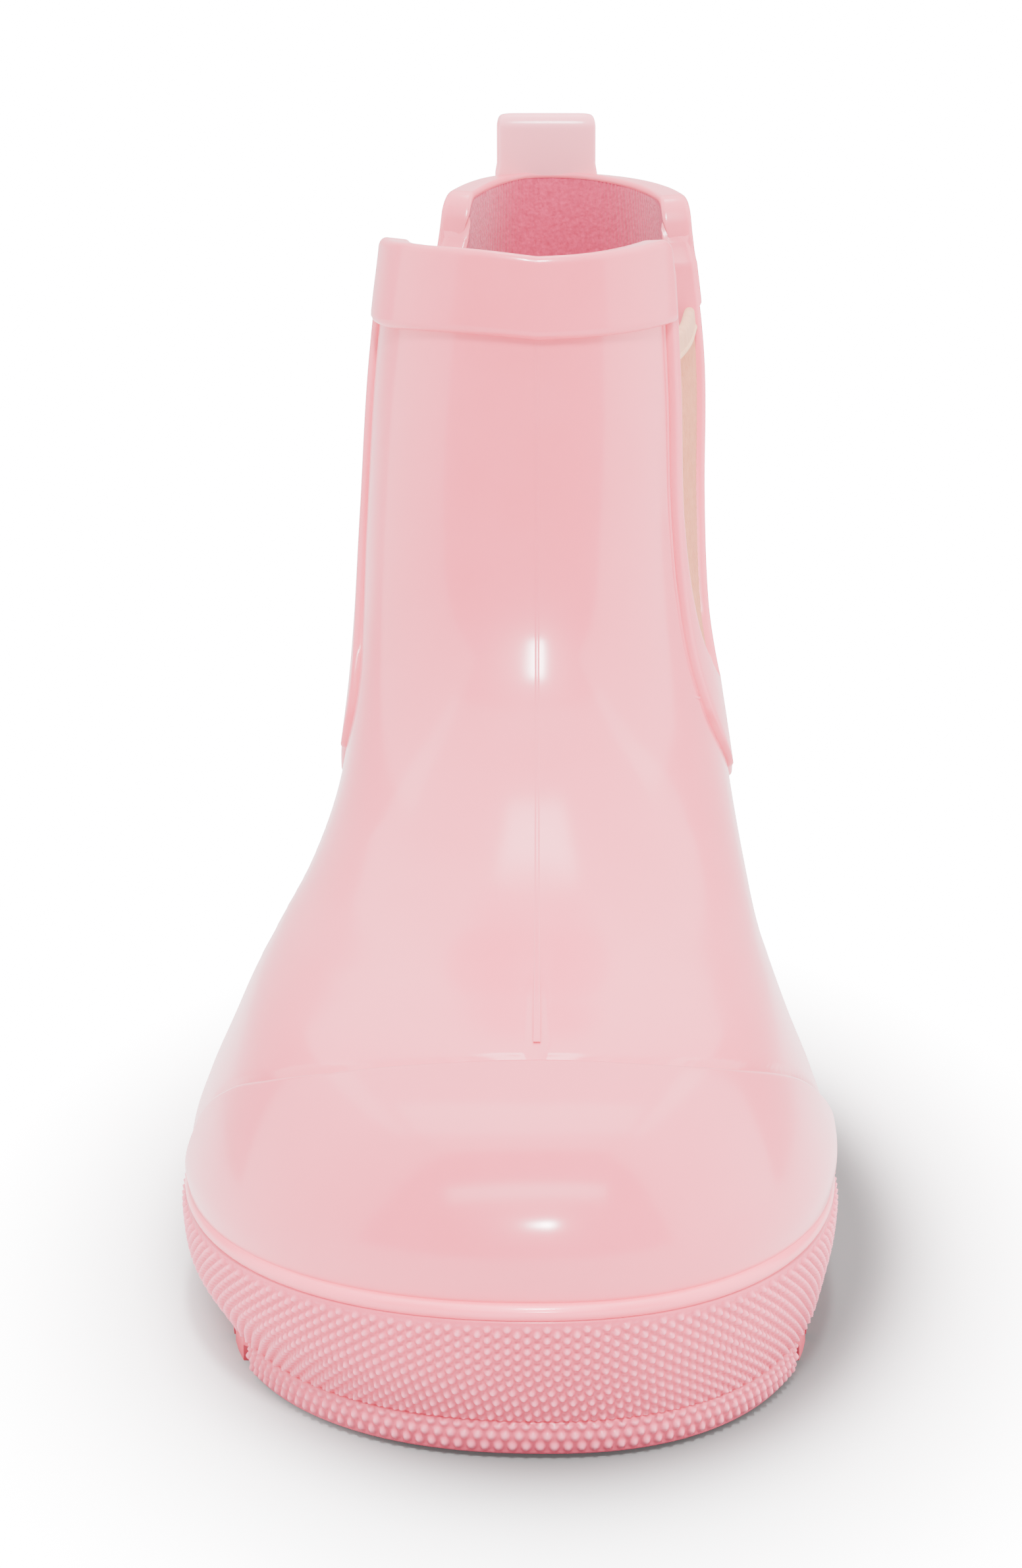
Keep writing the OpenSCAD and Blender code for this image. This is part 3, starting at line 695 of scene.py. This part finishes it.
def lining(name, v, ua, ub, cols, nodes, corners=None):
    """Knitted sheet just inside the rubber; with corners given it reaches up to the rim."""
    o = -SHELL - 0.02
    i = -SHELL - GAP - LINING
    lift = np.zeros(len(v))
    if corners:        # the last rows stand up from the raw edge to just under the rim
        extra = np.linspace(0, RIM_H - 0.9, 5)[1:]
        v = np.concatenate([v, np.full(4, v[-1])])
        lift = np.concatenate([lift, extra])
        ua, ub = np.append(ua, np.full(4, ua[-1])), np.append(ub, np.full(4, ub[-1]))
    ob = panel(name, v, ua, ub, cols, o, lambda V, U, P: i - knit(P, U), M_LINING,
               lift=lift, post=corners)
    return stand_for(ob, "lining_knit", *nodes)


INSET = 1.6             # degrees between a lining's edge and the rubber's edge
SOCK_LOW = 0.35         # level where the lining starts, inside the sole


def middle(v, s):
    """Angle of the gores' middle line, where the foot's two linings meet."""
    return u_at(np.full_like(v, GORE_MID), v, s)


lv = even(SPLIT, TOP, 0.35)
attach(lining("lining_rear", lv, u_at(edge_rear(lv, 1), lv, 1) + INSET,
               360 + u_at(edge_rear(lv, -1), lv, -1) - INSET, 300, ["rear_lining"],
               rear_corners), "boot")
lv = even(8.6, TOP, 0.6)
flex(lining("lining_front", lv, u_at(edge_front(lv, -1), lv, -1) + INSET,
            u_at(edge_front(lv, 1), lv, 1) - INSET, 200, ["front_lining"], front_corners))
lv = even(SOCK_LOW, SPLIT, 0.9)
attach(lining("lining_heel", lv, middle(lv, 1), 360 + middle(lv, -1), 200, []), "boot")
lv = even(SOCK_LOW, 8.7, 0.9)
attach(lining("lining_foot", lv, middle(lv, -1), middle(lv, 1), 260, ["foot_lining"]), "boot")

# ------------------------------------------------------------------ gores
STITCH_PITCH, CORD = 1.15, 0.9     # spacing in mm of the stitches and of the elastic's cords


def stretch(ob):
    """Bakes the object's placement into its mesh."""
    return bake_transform(ob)


def gore_sheet(v, a, s, tuck=1.7):
    """Stretched elastic: nearly straight from one edge to the other, tucked under both."""
    v, a = np.broadcast_arrays(np.asarray(v, float), np.asarray(a, float))
    ua, ub = u_at(edge_front(v, s), v, s), u_at(edge_rear(v, s), v, s)
    t = np.clip(a, 0, 1)
    pa, pb = skin(v, ua, -0.7), skin(v, ub, -0.7)
    p = 0.72 * (pa + (pb - pa) * t[..., None]) + 0.28 * skin(v, ua + (ub - ua) * t, -0.7)
    out = (a - t) / 0.05 * tuck
    edge = np.where(a < 0.5, ua, ub)
    u = edge + np.sign(ub - ua) * out / mm_per_degree(v, edge)
    return p + np.where(np.abs(out)[..., None] > 0, skin(v, u, -1.05) - skin(v, edge, -0.7), 0)


def stitch(base, along, up, out, bulge, first):
    """Slanted stitch over the hem's lower edge: a curved thread of 7 rings of 8 points."""
    p0 = base - 3.1 * up - 0.25 * along + (0.3 + bulge) * out
    p1 = base - 1.9 * up + 0.35 * along + (0.72 + bulge) * out
    mid = 0.5 * (p0 + p1) + 0.42 * out
    verts = []
    for t in np.linspace(0, 1, 7):
        centre = (1 - t) ** 2 * p0 + 2 * t * (1 - t) * mid + t ** 2 * p1
        r = 0.2 * math.sqrt(max(0.2, 1 - (2 * t - 1) ** 4))
        for q in np.linspace(0, 2 * np.pi, 9)[:-1]:
            verts.append(centre + r * (math.cos(q) * out + math.sin(q) * along))
    faces = quads(7, 8, wrap_c=True, base=first).tolist()
    faces.append([first + j for j in range(8)][::-1])
    faces.append([first + 48 + j for j in range(8)])
    return verts, faces


def grid_normal(P, s):
    """Outward directions of a grid of points on side s."""
    n = unit(np.cross(np.gradient(P, axis=1), np.gradient(P, axis=0)))
    return n * s


for s, side in ((1, "medial"), (-1, "lateral")):
    gv = even(9.2, GORE_TOP, 0.4)
    ga = np.linspace(-0.05, 1.05, 230)
    P = gore_sheet(gv[:, None], ga[None], s)
    N = grid_normal(P, s)
    cord = grid_length(P, 1)
    cord = cord - cord[:, [len(ga) // 2]]
    rib = 0.11 * np.abs(np.cos(cord / CORD * np.pi)) ** 0.6 \
        + 0.05 * np.sin(P[..., 2] / 0.65 * 2 * np.pi + np.round(cord / CORD) * np.pi)
    ob = slab("gore_" + side, P + (rib + 0.25)[..., None] * N, P - 0.75 * N, M_GORE)
    stand_for(stretch(ob), "gore_elastic", "gore_" + side)
    # folded hem along the top: down the outside, over the fold and down the inside
    ha = np.linspace(-0.02, 1.02, 150)
    B = gore_sheet(GORE_TOP, ha, s)
    L = gore_sheet(GORE_TOP - 0.1, ha, s)
    up = unit(B - L)
    along = unit(np.gradient(B, axis=0))
    nn = unit(np.cross(along, up)) * s
    arc = arc_length(B)
    sag = 0.25 * np.sin(arc / 7.5 + 0.6)
    sec = [(-2.75, 0.0), (-2.85, 0.35), (-2.6, 0.62)]
    sec += [(w, 0.68) for w in np.linspace(-2.3, -0.1, 8)]
    sec += [(0.78 * math.cos(q) - 0.05, 0.78 * math.sin(q) - 0.1)
            for q in np.linspace(1.4, -1.4, 13)]
    sec += [(w, -0.85) for w in np.linspace(-0.2, -2.2, 7)]
    sec += [(-2.5, -0.75), (-2.6, -0.2)]
    pts = np.zeros((len(ha), len(sec), 3))
    for k, (w, off) in enumerate(sec):
        rib = 0.07 * np.abs(np.cos(arc / CORD * np.pi)) if off > 0 else 0 * arc
        pts[:, k] = B + (w + 0.35 * sag)[:, None] * up + (off + rib + 0.5 * sag)[:, None] * nn
    hem = sweep("gore_hem_" + side, pts, M_HEM, sharp=65)
    stand_for(stretch(hem), "hem_tape", "gore_hem_" + side)
    verts, faces = [], []
    count = int(arc[-1] / STITCH_PITCH)
    for k in range(count):
        i = min(int((k + 0.5) / count * (len(ha) - 1)), len(ha) - 2)
        new, ring_faces = stitch(B[i] + 0.35 * sag[i] * up[i], along[i], up[i], nn[i],
                                 0.5 * sag[i], len(verts))
        verts += new
        faces += ring_faces
    st = obj_from("hem_stitches_" + side, verts, faces, M_THREAD, 60)
    stretch(st)

# ------------------------------------------------------------------ seam strip down the front
sv = refine_ends(cap_v1 + 0.3, TOP - BAND_H / FRONT_STEP + 0.02, 0.7)
across = np.linspace(-1, 1, 9)
turn = 0.35 / np.linalg.norm(surf(sv, 1.0) - surf(sv, 0.0), axis=1)
SU = across[None] * turn[:, None]
SV = np.repeat(sv[:, None], 9, 1)
seam_p, seam_n = surf(SV, SU), normal(SV, SU)
prof = (0.09 * np.sqrt(np.maximum(0, 1 - across ** 2)) - 0.03)[None, :, None]
wave = ripple(seam_p, *ROUGH)[..., None]
low = ease((SV - sv[0]) / 0.8)[..., None]      # sinks into the vamp before the toe cap
prof = prof * low - 0.12 * (1 - low) + wave
seam = slab("mould_seam", seam_p + prof * seam_n, seam_p + (wave - 0.3) * seam_n, M_SHELL)
flex(seam)

# ------------------------------------------------------------------ sole
LUG_H, HEEL_H, PLATE_T, HEEL_FRONT = 2.6, 7.4, 2.0, 40.0
WALL_TOP, WALL_T, LIP_END = 18.3, 1.4, 60.0
OVER_SIDE, OVER_TOE = 2.2, 3.2
DOT_U, DOT_V, DOT_R, DOT_H = 2.36, 0.75, 0.62, 0.75      # pitch, row, radius and height
LIP_DOT_U, LIP_DOT_V, LIP_DOT_R, LIP_DOT_H = 1.75, 1.35, 0.72, 0.5


def outline(u, d):
    """Sole wall seen from above, moved inwards by d."""
    u = np.asarray(u, float)
    c = np.cos(np.radians(u))
    p = surf(1, u)
    t = surf(1, u + 0.5) - surf(1, u - 0.5)
    n = unit(np.stack([t[..., 1], -t[..., 0]], -1))
    over = OVER_SIDE + (OVER_TOE - OVER_SIDE) * c ** 2
    return p[..., :2] + (over - d)[..., None] * n


def at(u, d, z):
    """Point of the sole; its foot is drawn in at the sides and slightly medial in front."""
    u, d, z = np.broadcast_arrays(np.asarray(u, float), np.asarray(d, float),
                                  np.asarray(z, float))
    low = ease((12.4 - z) / 8)
    q = outline(u, d + 1.1 * low * np.sin(np.radians(u)) ** 2)
    return np.stack([q[..., 0] + 1.3 * low * ease((30 - q[..., 1] / KY) / 60), q[..., 1], z], -1)


def under(y):
    """Height of the underside of the plate, stepping up to the heel."""
    return LUG_H + (HEEL_H - LUG_H) * ease((y / KY - 10) / (HEEL_FRONT - 14))


def wall_high(y):
    """Height of the top of the sole wall."""
    return WALL_TOP + 1.6 * ease((y / KY + 40) / 130)


def mark_stud_highlight(ob, values):
    """How far each vertex stands out of its ground, 0 to 1; the material paints the stud tops
    lighter from it, a painted highlight.
    """
    layer = ob.data.attributes.new("relief", "FLOAT", "POINT")
    layer.data.foreach_set("value", np.asarray(values, np.float32).ravel())


def around(u0, u1, count):
    """Angles evenly spaced by length along the sole's outline, and those lengths."""
    u = np.linspace(u0, u1, 4000)
    s = arc_length(outline(u, 0.5))
    even_s = np.linspace(0, s[-1], count)
    return np.interp(even_s, s, u), even_s


def domes(s, w, pitch, row, radius, height):
    """Staggered round studs over a strip; s along it, w across it, in mm."""
    best = np.full(s.shape, 9.0)
    k0 = np.round(w / row)
    for dk in (-2, -1, 0, 1, 2):
        k = k0 + dk
        shift = np.where(np.mod(k, 2) > 0.5, 0.5, 0.0)
        x = (s / pitch - shift)
        dx = (x - np.round(x)) * pitch
        best = np.minimum(best, np.hypot(dx, w - k * row))
    t = np.clip(best / radius, 0, 1)
    return height * (1 - t * t) ** 1.5


wu, ws = around(0, 360, 2301)
wu, ws = wu[:-1], ws[:-1] * (round(ws[-1] / DOT_U) * DOT_U / ws[-1])
y_line = outline(wu, 0)[:, 1]
z0, z1 = under(y_line) + PLATE_T + 0.1, wall_high(y_line)
rows_w = 64
tw = np.linspace(0, 1, rows_w)
depth = smooth_interp(tw, [-0.2, 0, 0.25, 0.62, 1, 1.2], [3.9, 3.1, 2.0, 0.6, 0.15, 0.15], 0.12)
WU = np.repeat(wu[:, None], rows_w, 1)
h = (z1 - z0)[:, None]
Z = z0[:, None] + tw[None] * h
wall = at(WU, depth[None] + 0 * WU, Z)
dz = np.gradient(wall, axis=1)
ds = np.roll(wall, -1, 0) - np.roll(wall, 1, 0)
wn = unit(np.cross(ds, dz))
wdist = (z1[:, None] - Z) * 1.06
fade = lip(wdist - 0.35, 0.6) * lip(tw[None] * h - 0.25, 0.6)
stud = domes(ws[:, None] + 0 * Z, wdist, DOT_U, DOT_V, DOT_R, DOT_H) * fade
wall = wall + stud[..., None] * wn
back = [at(wu, 0.5, z1 + 0.3), at(wu, 2.0, z1 + 0.3), at(wu, WALL_T + 1.2, z1 - 0.5 * (z1 - z0)),
        at(wu, 3.4 + WALL_T, z0 + 0.1), at(wu, 3.6 + WALL_T, z0 - 0.3), at(wu, 3.6, z0 - 0.3)]
secs = np.concatenate([wall, np.stack(back, 1)], 1)
sidewall = sweep("sidewall_studded", secs, M_STUDS, wrap=True, sharp=75)
# stud heights, which drive the painted highlight on the stud tops
mark_stud_highlight(sidewall, np.concatenate([stud / DOT_H, np.full((len(wu), len(back)), 0.2)], 1))
stand_for(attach(sidewall, "boot"), "sole_rubber", "sidewall")

# smooth rolled moulding on top of the wall, running into the upper
bu = around(0, 360, 721)[0][:-1]
zb = wall_high(outline(bu, 0)[:, 1]) + 1.15
over_b = OVER_SIDE + (OVER_TOE - OVER_SIDE) * np.cos(np.radians(bu)) ** 2
ring = []
for k in np.linspace(-100, 100, 23):
    q = math.radians(k)
    ring.append(at(bu, 1.2 - 1.18 * math.cos(q), zb + 1.12 * math.sin(q)))
for inwards, height in ((-0.75, 0.92), (-0.35, 0.6), (0.8, 0.3), (0.8, -1.6), (-0.4, -1.9)):
    ring.append(at(bu, over_b + inwards, zb + height))
bead = sweep("foxing_bead_smooth", np.stack(ring, 1), M_TRIM, wrap=True, sharp=70)
stand_for(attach(bead, "boot"), "trim_rubber", "foxing_bead")

# toe strip on the edge of the outsole, with two rows of larger studs
lu, ls = around(-LIP_END, LIP_END, 900)
rows_l = 26
tl = np.linspace(0, 1, rows_l)
top_l, low_l = LUG_H + PLATE_T + 0.15, 0.75
LU = np.repeat(lu[:, None], rows_l, 1)
LZ = low_l + (top_l - low_l) * tl[None] + 0 * LU
ld = smooth_interp(tl, [-0.2, 0, 0.45, 1, 1.2], [3.5, 3.25, 2.75, 2.7, 2.7], 0.1)
ld = ld[None] + 0.9 * (1 - lip(np.minimum(ls, ls[-1] - ls), 1.6))[:, None]
strip = at(LU, ld, LZ)
sn = unit(np.cross(np.gradient(strip, axis=0), np.gradient(strip, axis=1)))
stud = domes(ls[:, None] + 0 * LZ, LZ - low_l - 1.0, LIP_DOT_U, LIP_DOT_V, LIP_DOT_R, LIP_DOT_H)
stud *= lip(LZ - low_l - 0.15, 0.5) * lip(top_l - LZ - 0.15, 0.5)
strip = strip + stud[..., None] * sn
round_top = [at(lu, ld[:, -1] + 0.2, top_l + 0.16), at(lu, ld[:, -1] + 0.6, top_l + 0.2),
             at(lu, 4.9, top_l + 0.2), at(lu, 5.3, top_l), at(lu, 5.3, low_l),
             at(lu, ld[:, 0] + 0.6, low_l - 0.18), at(lu, ld[:, 0] + 0.2, low_l - 0.12)]
toe_lip = sweep("toe_lip_studded", np.concatenate([strip, np.stack(round_top, 1)], 1), M_STUDS,
                sharp=75)
# stud heights, which drive the painted highlight on the stud tops
mark_stud_highlight(toe_lip, np.concatenate([stud / LIP_DOT_H, np.full((len(lu), len(round_top)), 0.2)], 1))
stand_for(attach(toe_lip, "boot"), "sole_rubber", "toe_lip")

# loose footbed: dished top with a rounded edge
FOOTBED_GAP = 9.9       # from the outside of the sole wall to the footbed
fb_lo, fb_hi = mm("footbed")
nr, nc = 46, 240
fu = np.linspace(0, 360, nc + 1)[:-1]
ring_t = 1 - (1 - np.linspace(0, 1, nr)) ** 1.6
centre = np.array([(fb_lo[0] + fb_hi[0]) / 2, (fb_lo[1] + fb_hi[1]) / 2])
edge_xy = outline(fu, FOOTBED_GAP)
FX = centre[0] + (edge_xy[:, 0] - centre[0]) * ring_t[:, None]
FY = edge_xy[:, 1] * ring_t[:, None] + centre[1] * (1 - ring_t[:, None])
inside = (1 - ring_t)[:, None] * 34 + 0 * FX
FZ = fb_lo[2] + 0.05 + (fb_hi[2] - fb_lo[2]) * (0.42 + 0.58 * lip(inside, 1.4))
FZ = FZ - 0.8 * (1 - ring_t[:, None] ** 3) + ripple(np.stack([FX, FY, FZ], -1), 11, 0.15)
top_g = np.stack([FX, FY, FZ], -1)[::-1]
bot_g = np.stack([FX, FY, 0 * FX + fb_lo[2] + 0.02], -1)[::-1]
footbed = slab("footbed_padded", top_g, bot_g, M_FOOTBED, wrap=True, sharp=50)
stand_for(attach(footbed, "footbed"), "footbed_textile", "footbed")

# the outsole, its heel and the hidden fillers keep their own meshes, with softened edges
for node, mat, width in (("outsole", M_TREAD, 0.0004), ("heel_block", M_TREAD, 0.0006),
                         ("midsole_filler", M_FILLER, 0.0004), ("insole_board", M_BOARD, 0.0003)):
    ob = bpy.data.objects[node]
    ob.data.materials.clear()
    ob.data.materials.append(mat)
    bev = ob.modifiers.new("soft_edges", "BEVEL")
    bev.width = width
    bev.segments = 3
    bev.limit_method = "ANGLE"
    bev.angle_limit = math.radians(40)
    bev.harden_normals = False

# ------------------------------------------------------------------ pull tab
rim = surf(TOP, 180)
TAB_W, TAB_T, TAB_H = 15.2, 1.5, 9.2
tab_r = TAB_T + 0.9
tab_x, tab_y = rim[0], rim[1] - 0.7
tab_z = rim[2] + RIM_H + 0.1 + tab_r
reach = TAB_H - 2 * tab_r


def strap_path():
    """Middle line of the loop in y and z, from inside the rim, up, over and down outside."""
    r = tab_r - TAB_T / 2
    pts = [(-r, -tab_r - 0.4), (-r, -tab_r), (-r, -1.0), (-r, 0.0)]
    pts += [(-r, z) for z in np.linspace(0.5, reach, 8)]
    pts += [(-r * math.cos(a), reach + r * math.sin(a)) for a in np.linspace(0, np.pi, 21)[1:-1]]
    pts += [(r, z) for z in np.linspace(reach, 0, 8)]
    pts += [(r, -1.0), (r, -tab_r), (r, -tab_r - 2.2)]
    return np.array(pts)


path = strap_path()
tan = unit(np.gradient(path, axis=0))
nrm = np.stack([-tan[:, 1], tan[:, 0]], -1)
corner = 1.1
secs = []
for (py, pz), (ny, nz) in zip(path, nrm):
    # the top corners are rounded: narrower near the crown
    top_gap = reach + tab_r - pz
    cut = corner * (1 - math.sqrt(max(0, 1 - max(0, 1 - top_gap / 2.2) ** 2)))
    flare = 0.3 * min(1, max(0, (-1.3 - pz) / 1.2)) ** 2
    hw = TAB_W / 2 - cut + flare
    ring = []
    for a in np.linspace(0, 2 * np.pi, 33)[:-1]:
        ca, sa = math.cos(a), math.sin(a)
        rx = math.copysign(abs(ca) ** 0.22, ca) * hw
        rt = math.copysign(abs(sa) ** 0.6, sa) * TAB_T / 2
        skew = -0.4 * ease((py + 1.6) / 3.2)
        ring.append((tab_x + rx + skew, tab_y + py + ny * rt, tab_z + pz + nz * rt))
    secs.append(ring)
tab = sweep("pull_tab_loop", np.array(secs), M_TAB, sharp=60)
stand_for(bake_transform(tab), "tab_rubber", "pull_tab")

av = refine_ends(TOP - 1.1, TOP - 0.02, 0.5)
anchor = overlay("tab_anchor_strip", av, 180 - 0.74 * TAB_W + 0 * av, 180 + 0.74 * TAB_W + 0 * av,
                 60, M_TAB, height=1.3 + TAB_T, edge=0.7)
stand_for(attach(anchor, "boot"), "tab_rubber", "tab_anchor")

# ------------------------------------------------------------------ floor, light and camera
WHITE = 14.0            # brightness that the camera sees as plain white


def smooth_range(tree, value, start, end, low, high):
    """Node output that runs smoothly from low to high as value goes from start to end."""
    node = tree.nodes.new("ShaderNodeMapRange")
    node.interpolation_type = "SMOOTHSTEP"
    for key, number in (("From Min", start), ("From Max", end), ("To Min", low), ("To Max", high)):
        node.inputs[key].default_value = number
    tree.links.new(value, node.inputs["Value"])
    return node.outputs["Result"]


def floor_material():
    """White floor that glows for the camera only; round the boot both its glow and its colour are
    turned down, a painted contact shadow added to the lamps' own shadow.
    """
    pale = srgb(247, 247, 247)
    mat = material("backdrop_white", pale, pale, 0.9, 2, bump=0.0)
    tree = mat.node_tree
    bsdf = next(node for node in tree.nodes if node.type == "BSDF_PRINCIPLED")
    bsdf.inputs["Specular IOR Level"].default_value = 0.1
    bsdf.inputs["Emission Color"].default_value = (1, 1, 1, 1)
    place = tree.nodes.new("ShaderNodeTexCoord")
    scale = tree.nodes.new("ShaderNodeMapping")        # an oval as long as two of its widths
    scale.inputs["Scale"].default_value = (1, 0.5, 1)
    scale.inputs["Location"].default_value = (-0.002, 0.0, 0)
    far = tree.nodes.new("ShaderNodeVectorMath")
    far.operation = "LENGTH"
    tree.links.new(place.outputs["Object"], scale.inputs["Vector"])
    tree.links.new(scale.outputs["Vector"], far.inputs[0])
    seen = tree.nodes.new("ShaderNodeLightPath")
    glow = tree.nodes.new("ShaderNodeMath")
    glow.operation = "MULTIPLY"
    tree.links.new(seen.outputs["Is Camera Ray"], glow.inputs[0])
    # painted shadow: the camera glow falls from white to almost nothing close round the boot
    tree.links.new(smooth_range(tree, far.outputs["Value"], 0.046, 0.095, 0.1, WHITE),
                   glow.inputs[1])
    tree.links.new(glow.outputs[0], bsdf.inputs["Emission Strength"])
    # painted shadow: the floor's colour darkens to grey close round the boot's footprint
    tree.links.new(smooth_range(tree, far.outputs["Value"], 0.043, 0.061, 0.12, 0.93),
                   bsdf.inputs["Base Color"])
    return mat


def backdrop():
    """Floor that curves up into a wall behind the boot."""
    half, front, back, curve, wall = 3.0, -2.6, 1.2, 0.9, 3.2
    line = [(front, 0.0), (back, 0.0)]
    line += [(back + curve * math.sin(a), curve * (1 - math.cos(a)))
             for a in np.linspace(0, np.pi / 2, 16)[1:]]
    line += [(back + curve, wall)]
    grid = 1000 * np.array([[(x, y, z) for y, z in line] for x in np.linspace(-half, half, 5)])
    return obj_from("backdrop", grid.reshape(-1, 3), quads(5, len(line)).tolist(),
                    floor_material(), 60)


def surround():
    """White ball round everything, which only the camera sees, so that no view ends in grey."""
    mat = bpy.data.materials.new("surround_white")
    mat.use_nodes = True
    tree = mat.node_tree
    tree.nodes.clear()
    white = tree.nodes.new("ShaderNodeEmission")
    white.inputs["Strength"].default_value = WHITE
    out = tree.nodes.new("ShaderNodeOutputMaterial")
    tree.links.new(white.outputs[0], out.inputs["Surface"])
    up = np.linspace(-np.pi / 2, np.pi / 2, 25)[:, None]
    turn = np.linspace(0, 2 * np.pi, 49)[None]
    grid = 5000 * np.stack(np.broadcast_arrays(
        np.cos(up) * np.cos(turn), np.cos(up) * np.sin(turn), np.sin(up)), -1)
    ball = obj_from("surround", grid.reshape(-1, 3), quads(25, 49).tolist(), mat, 60)
    for kind in ("diffuse", "glossy", "transmission", "volume_scatter", "shadow"):
        setattr(ball, "visible_" + kind, False)
    return ball


backdrop()
surround()


def area(name, loc, target, size, power):
    """Rectangular light at loc that faces target."""
    light = bpy.data.lights.new(name, "AREA")
    light.shape = "RECTANGLE"
    light.size, light.size_y = size
    light.energy = power
    ob = bpy.data.objects.new(name, light)
    bpy.context.collection.objects.link(ob)
    ob.location = loc
    ob.rotation_euler = (Vector(target) - Vector(loc)).to_track_quat("-Z", "Y").to_euler()
    return ob


def lights_only(light, objects, leave_out=False):
    """Lets a small highlight light fall on the given objects only, or on all but them."""
    group = bpy.data.collections.new(light.name + "_targets")
    for ob in objects:
        group.objects.link(ob)
    light.light_linking.receiver_collection = group
    if leave_out:
        for item in group.collection_objects:
            item.light_linking.link_state = "EXCLUDE"


# place, aim, size in m and power in W: three soft boxes, and small lights for the highlights
area("top_soft", (0, 0.6, 1.9), (0, 0, 0.05), (3.0, 2.4), 90)
area("left_soft", (-1.4, -0.1, 0.8), (0, 0, 0.07), (2.0, 2.0), 50)
area("right_soft", (1.4, -0.1, 0.8), (0, 0, 0.07), (2.0, 2.0), 63)
key = area("key_glint", (0.015, -0.70, 1.05), (0, 0, 0.08), (0.08, 0.34), 27)
rear = area("rear_glint", (0.0, 0.45, 1.25), (0, 0, 0.06), (0.22, 0.3), 4)
for light in (key, rear):
    lights_only(light, [toe_cap], leave_out=True)
toe_strip = area("toe_strip", (0, -1.04, 0.77), (0, -0.09, 0.03), (1.1, 0.14), 7)
toe_glint = area("toe_glint", (0.02, -0.65, 0.245), (0, -0.09, 0.03), (0.03, 0.014), 2.6)
cap_fill = area("cap_fill", (0, -0.25, 1.2), (0, -0.09, 0.03), (1.2, 0.8), 16)
for light in (toe_strip, toe_glint, cap_fill):
    lights_only(light, [toe_cap, bead])

world = bpy.data.worlds.new("studio")
world.use_nodes = True
world.node_tree.nodes["Background"].inputs[0].default_value = (1, 1, 1, 1)
world.node_tree.nodes["Background"].inputs[1].default_value = 0.50
bpy.context.scene.world = world

cam = bpy.data.cameras.new("photo_camera")
cam.sensor_fit = "VERTICAL"
cam.sensor_height = 36
cam.lens = 85.462
cam.shift_x = -0.01668
cam_ob = bpy.data.objects.new("photo_camera", cam)
bpy.context.collection.objects.link(cam_ob)
cam_ob.location = (0, -0.510, 0.1745)
cam_ob.rotation_euler = (math.pi / 2 - 0.215, 0, 0)
bpy.context.scene.camera = cam_ob
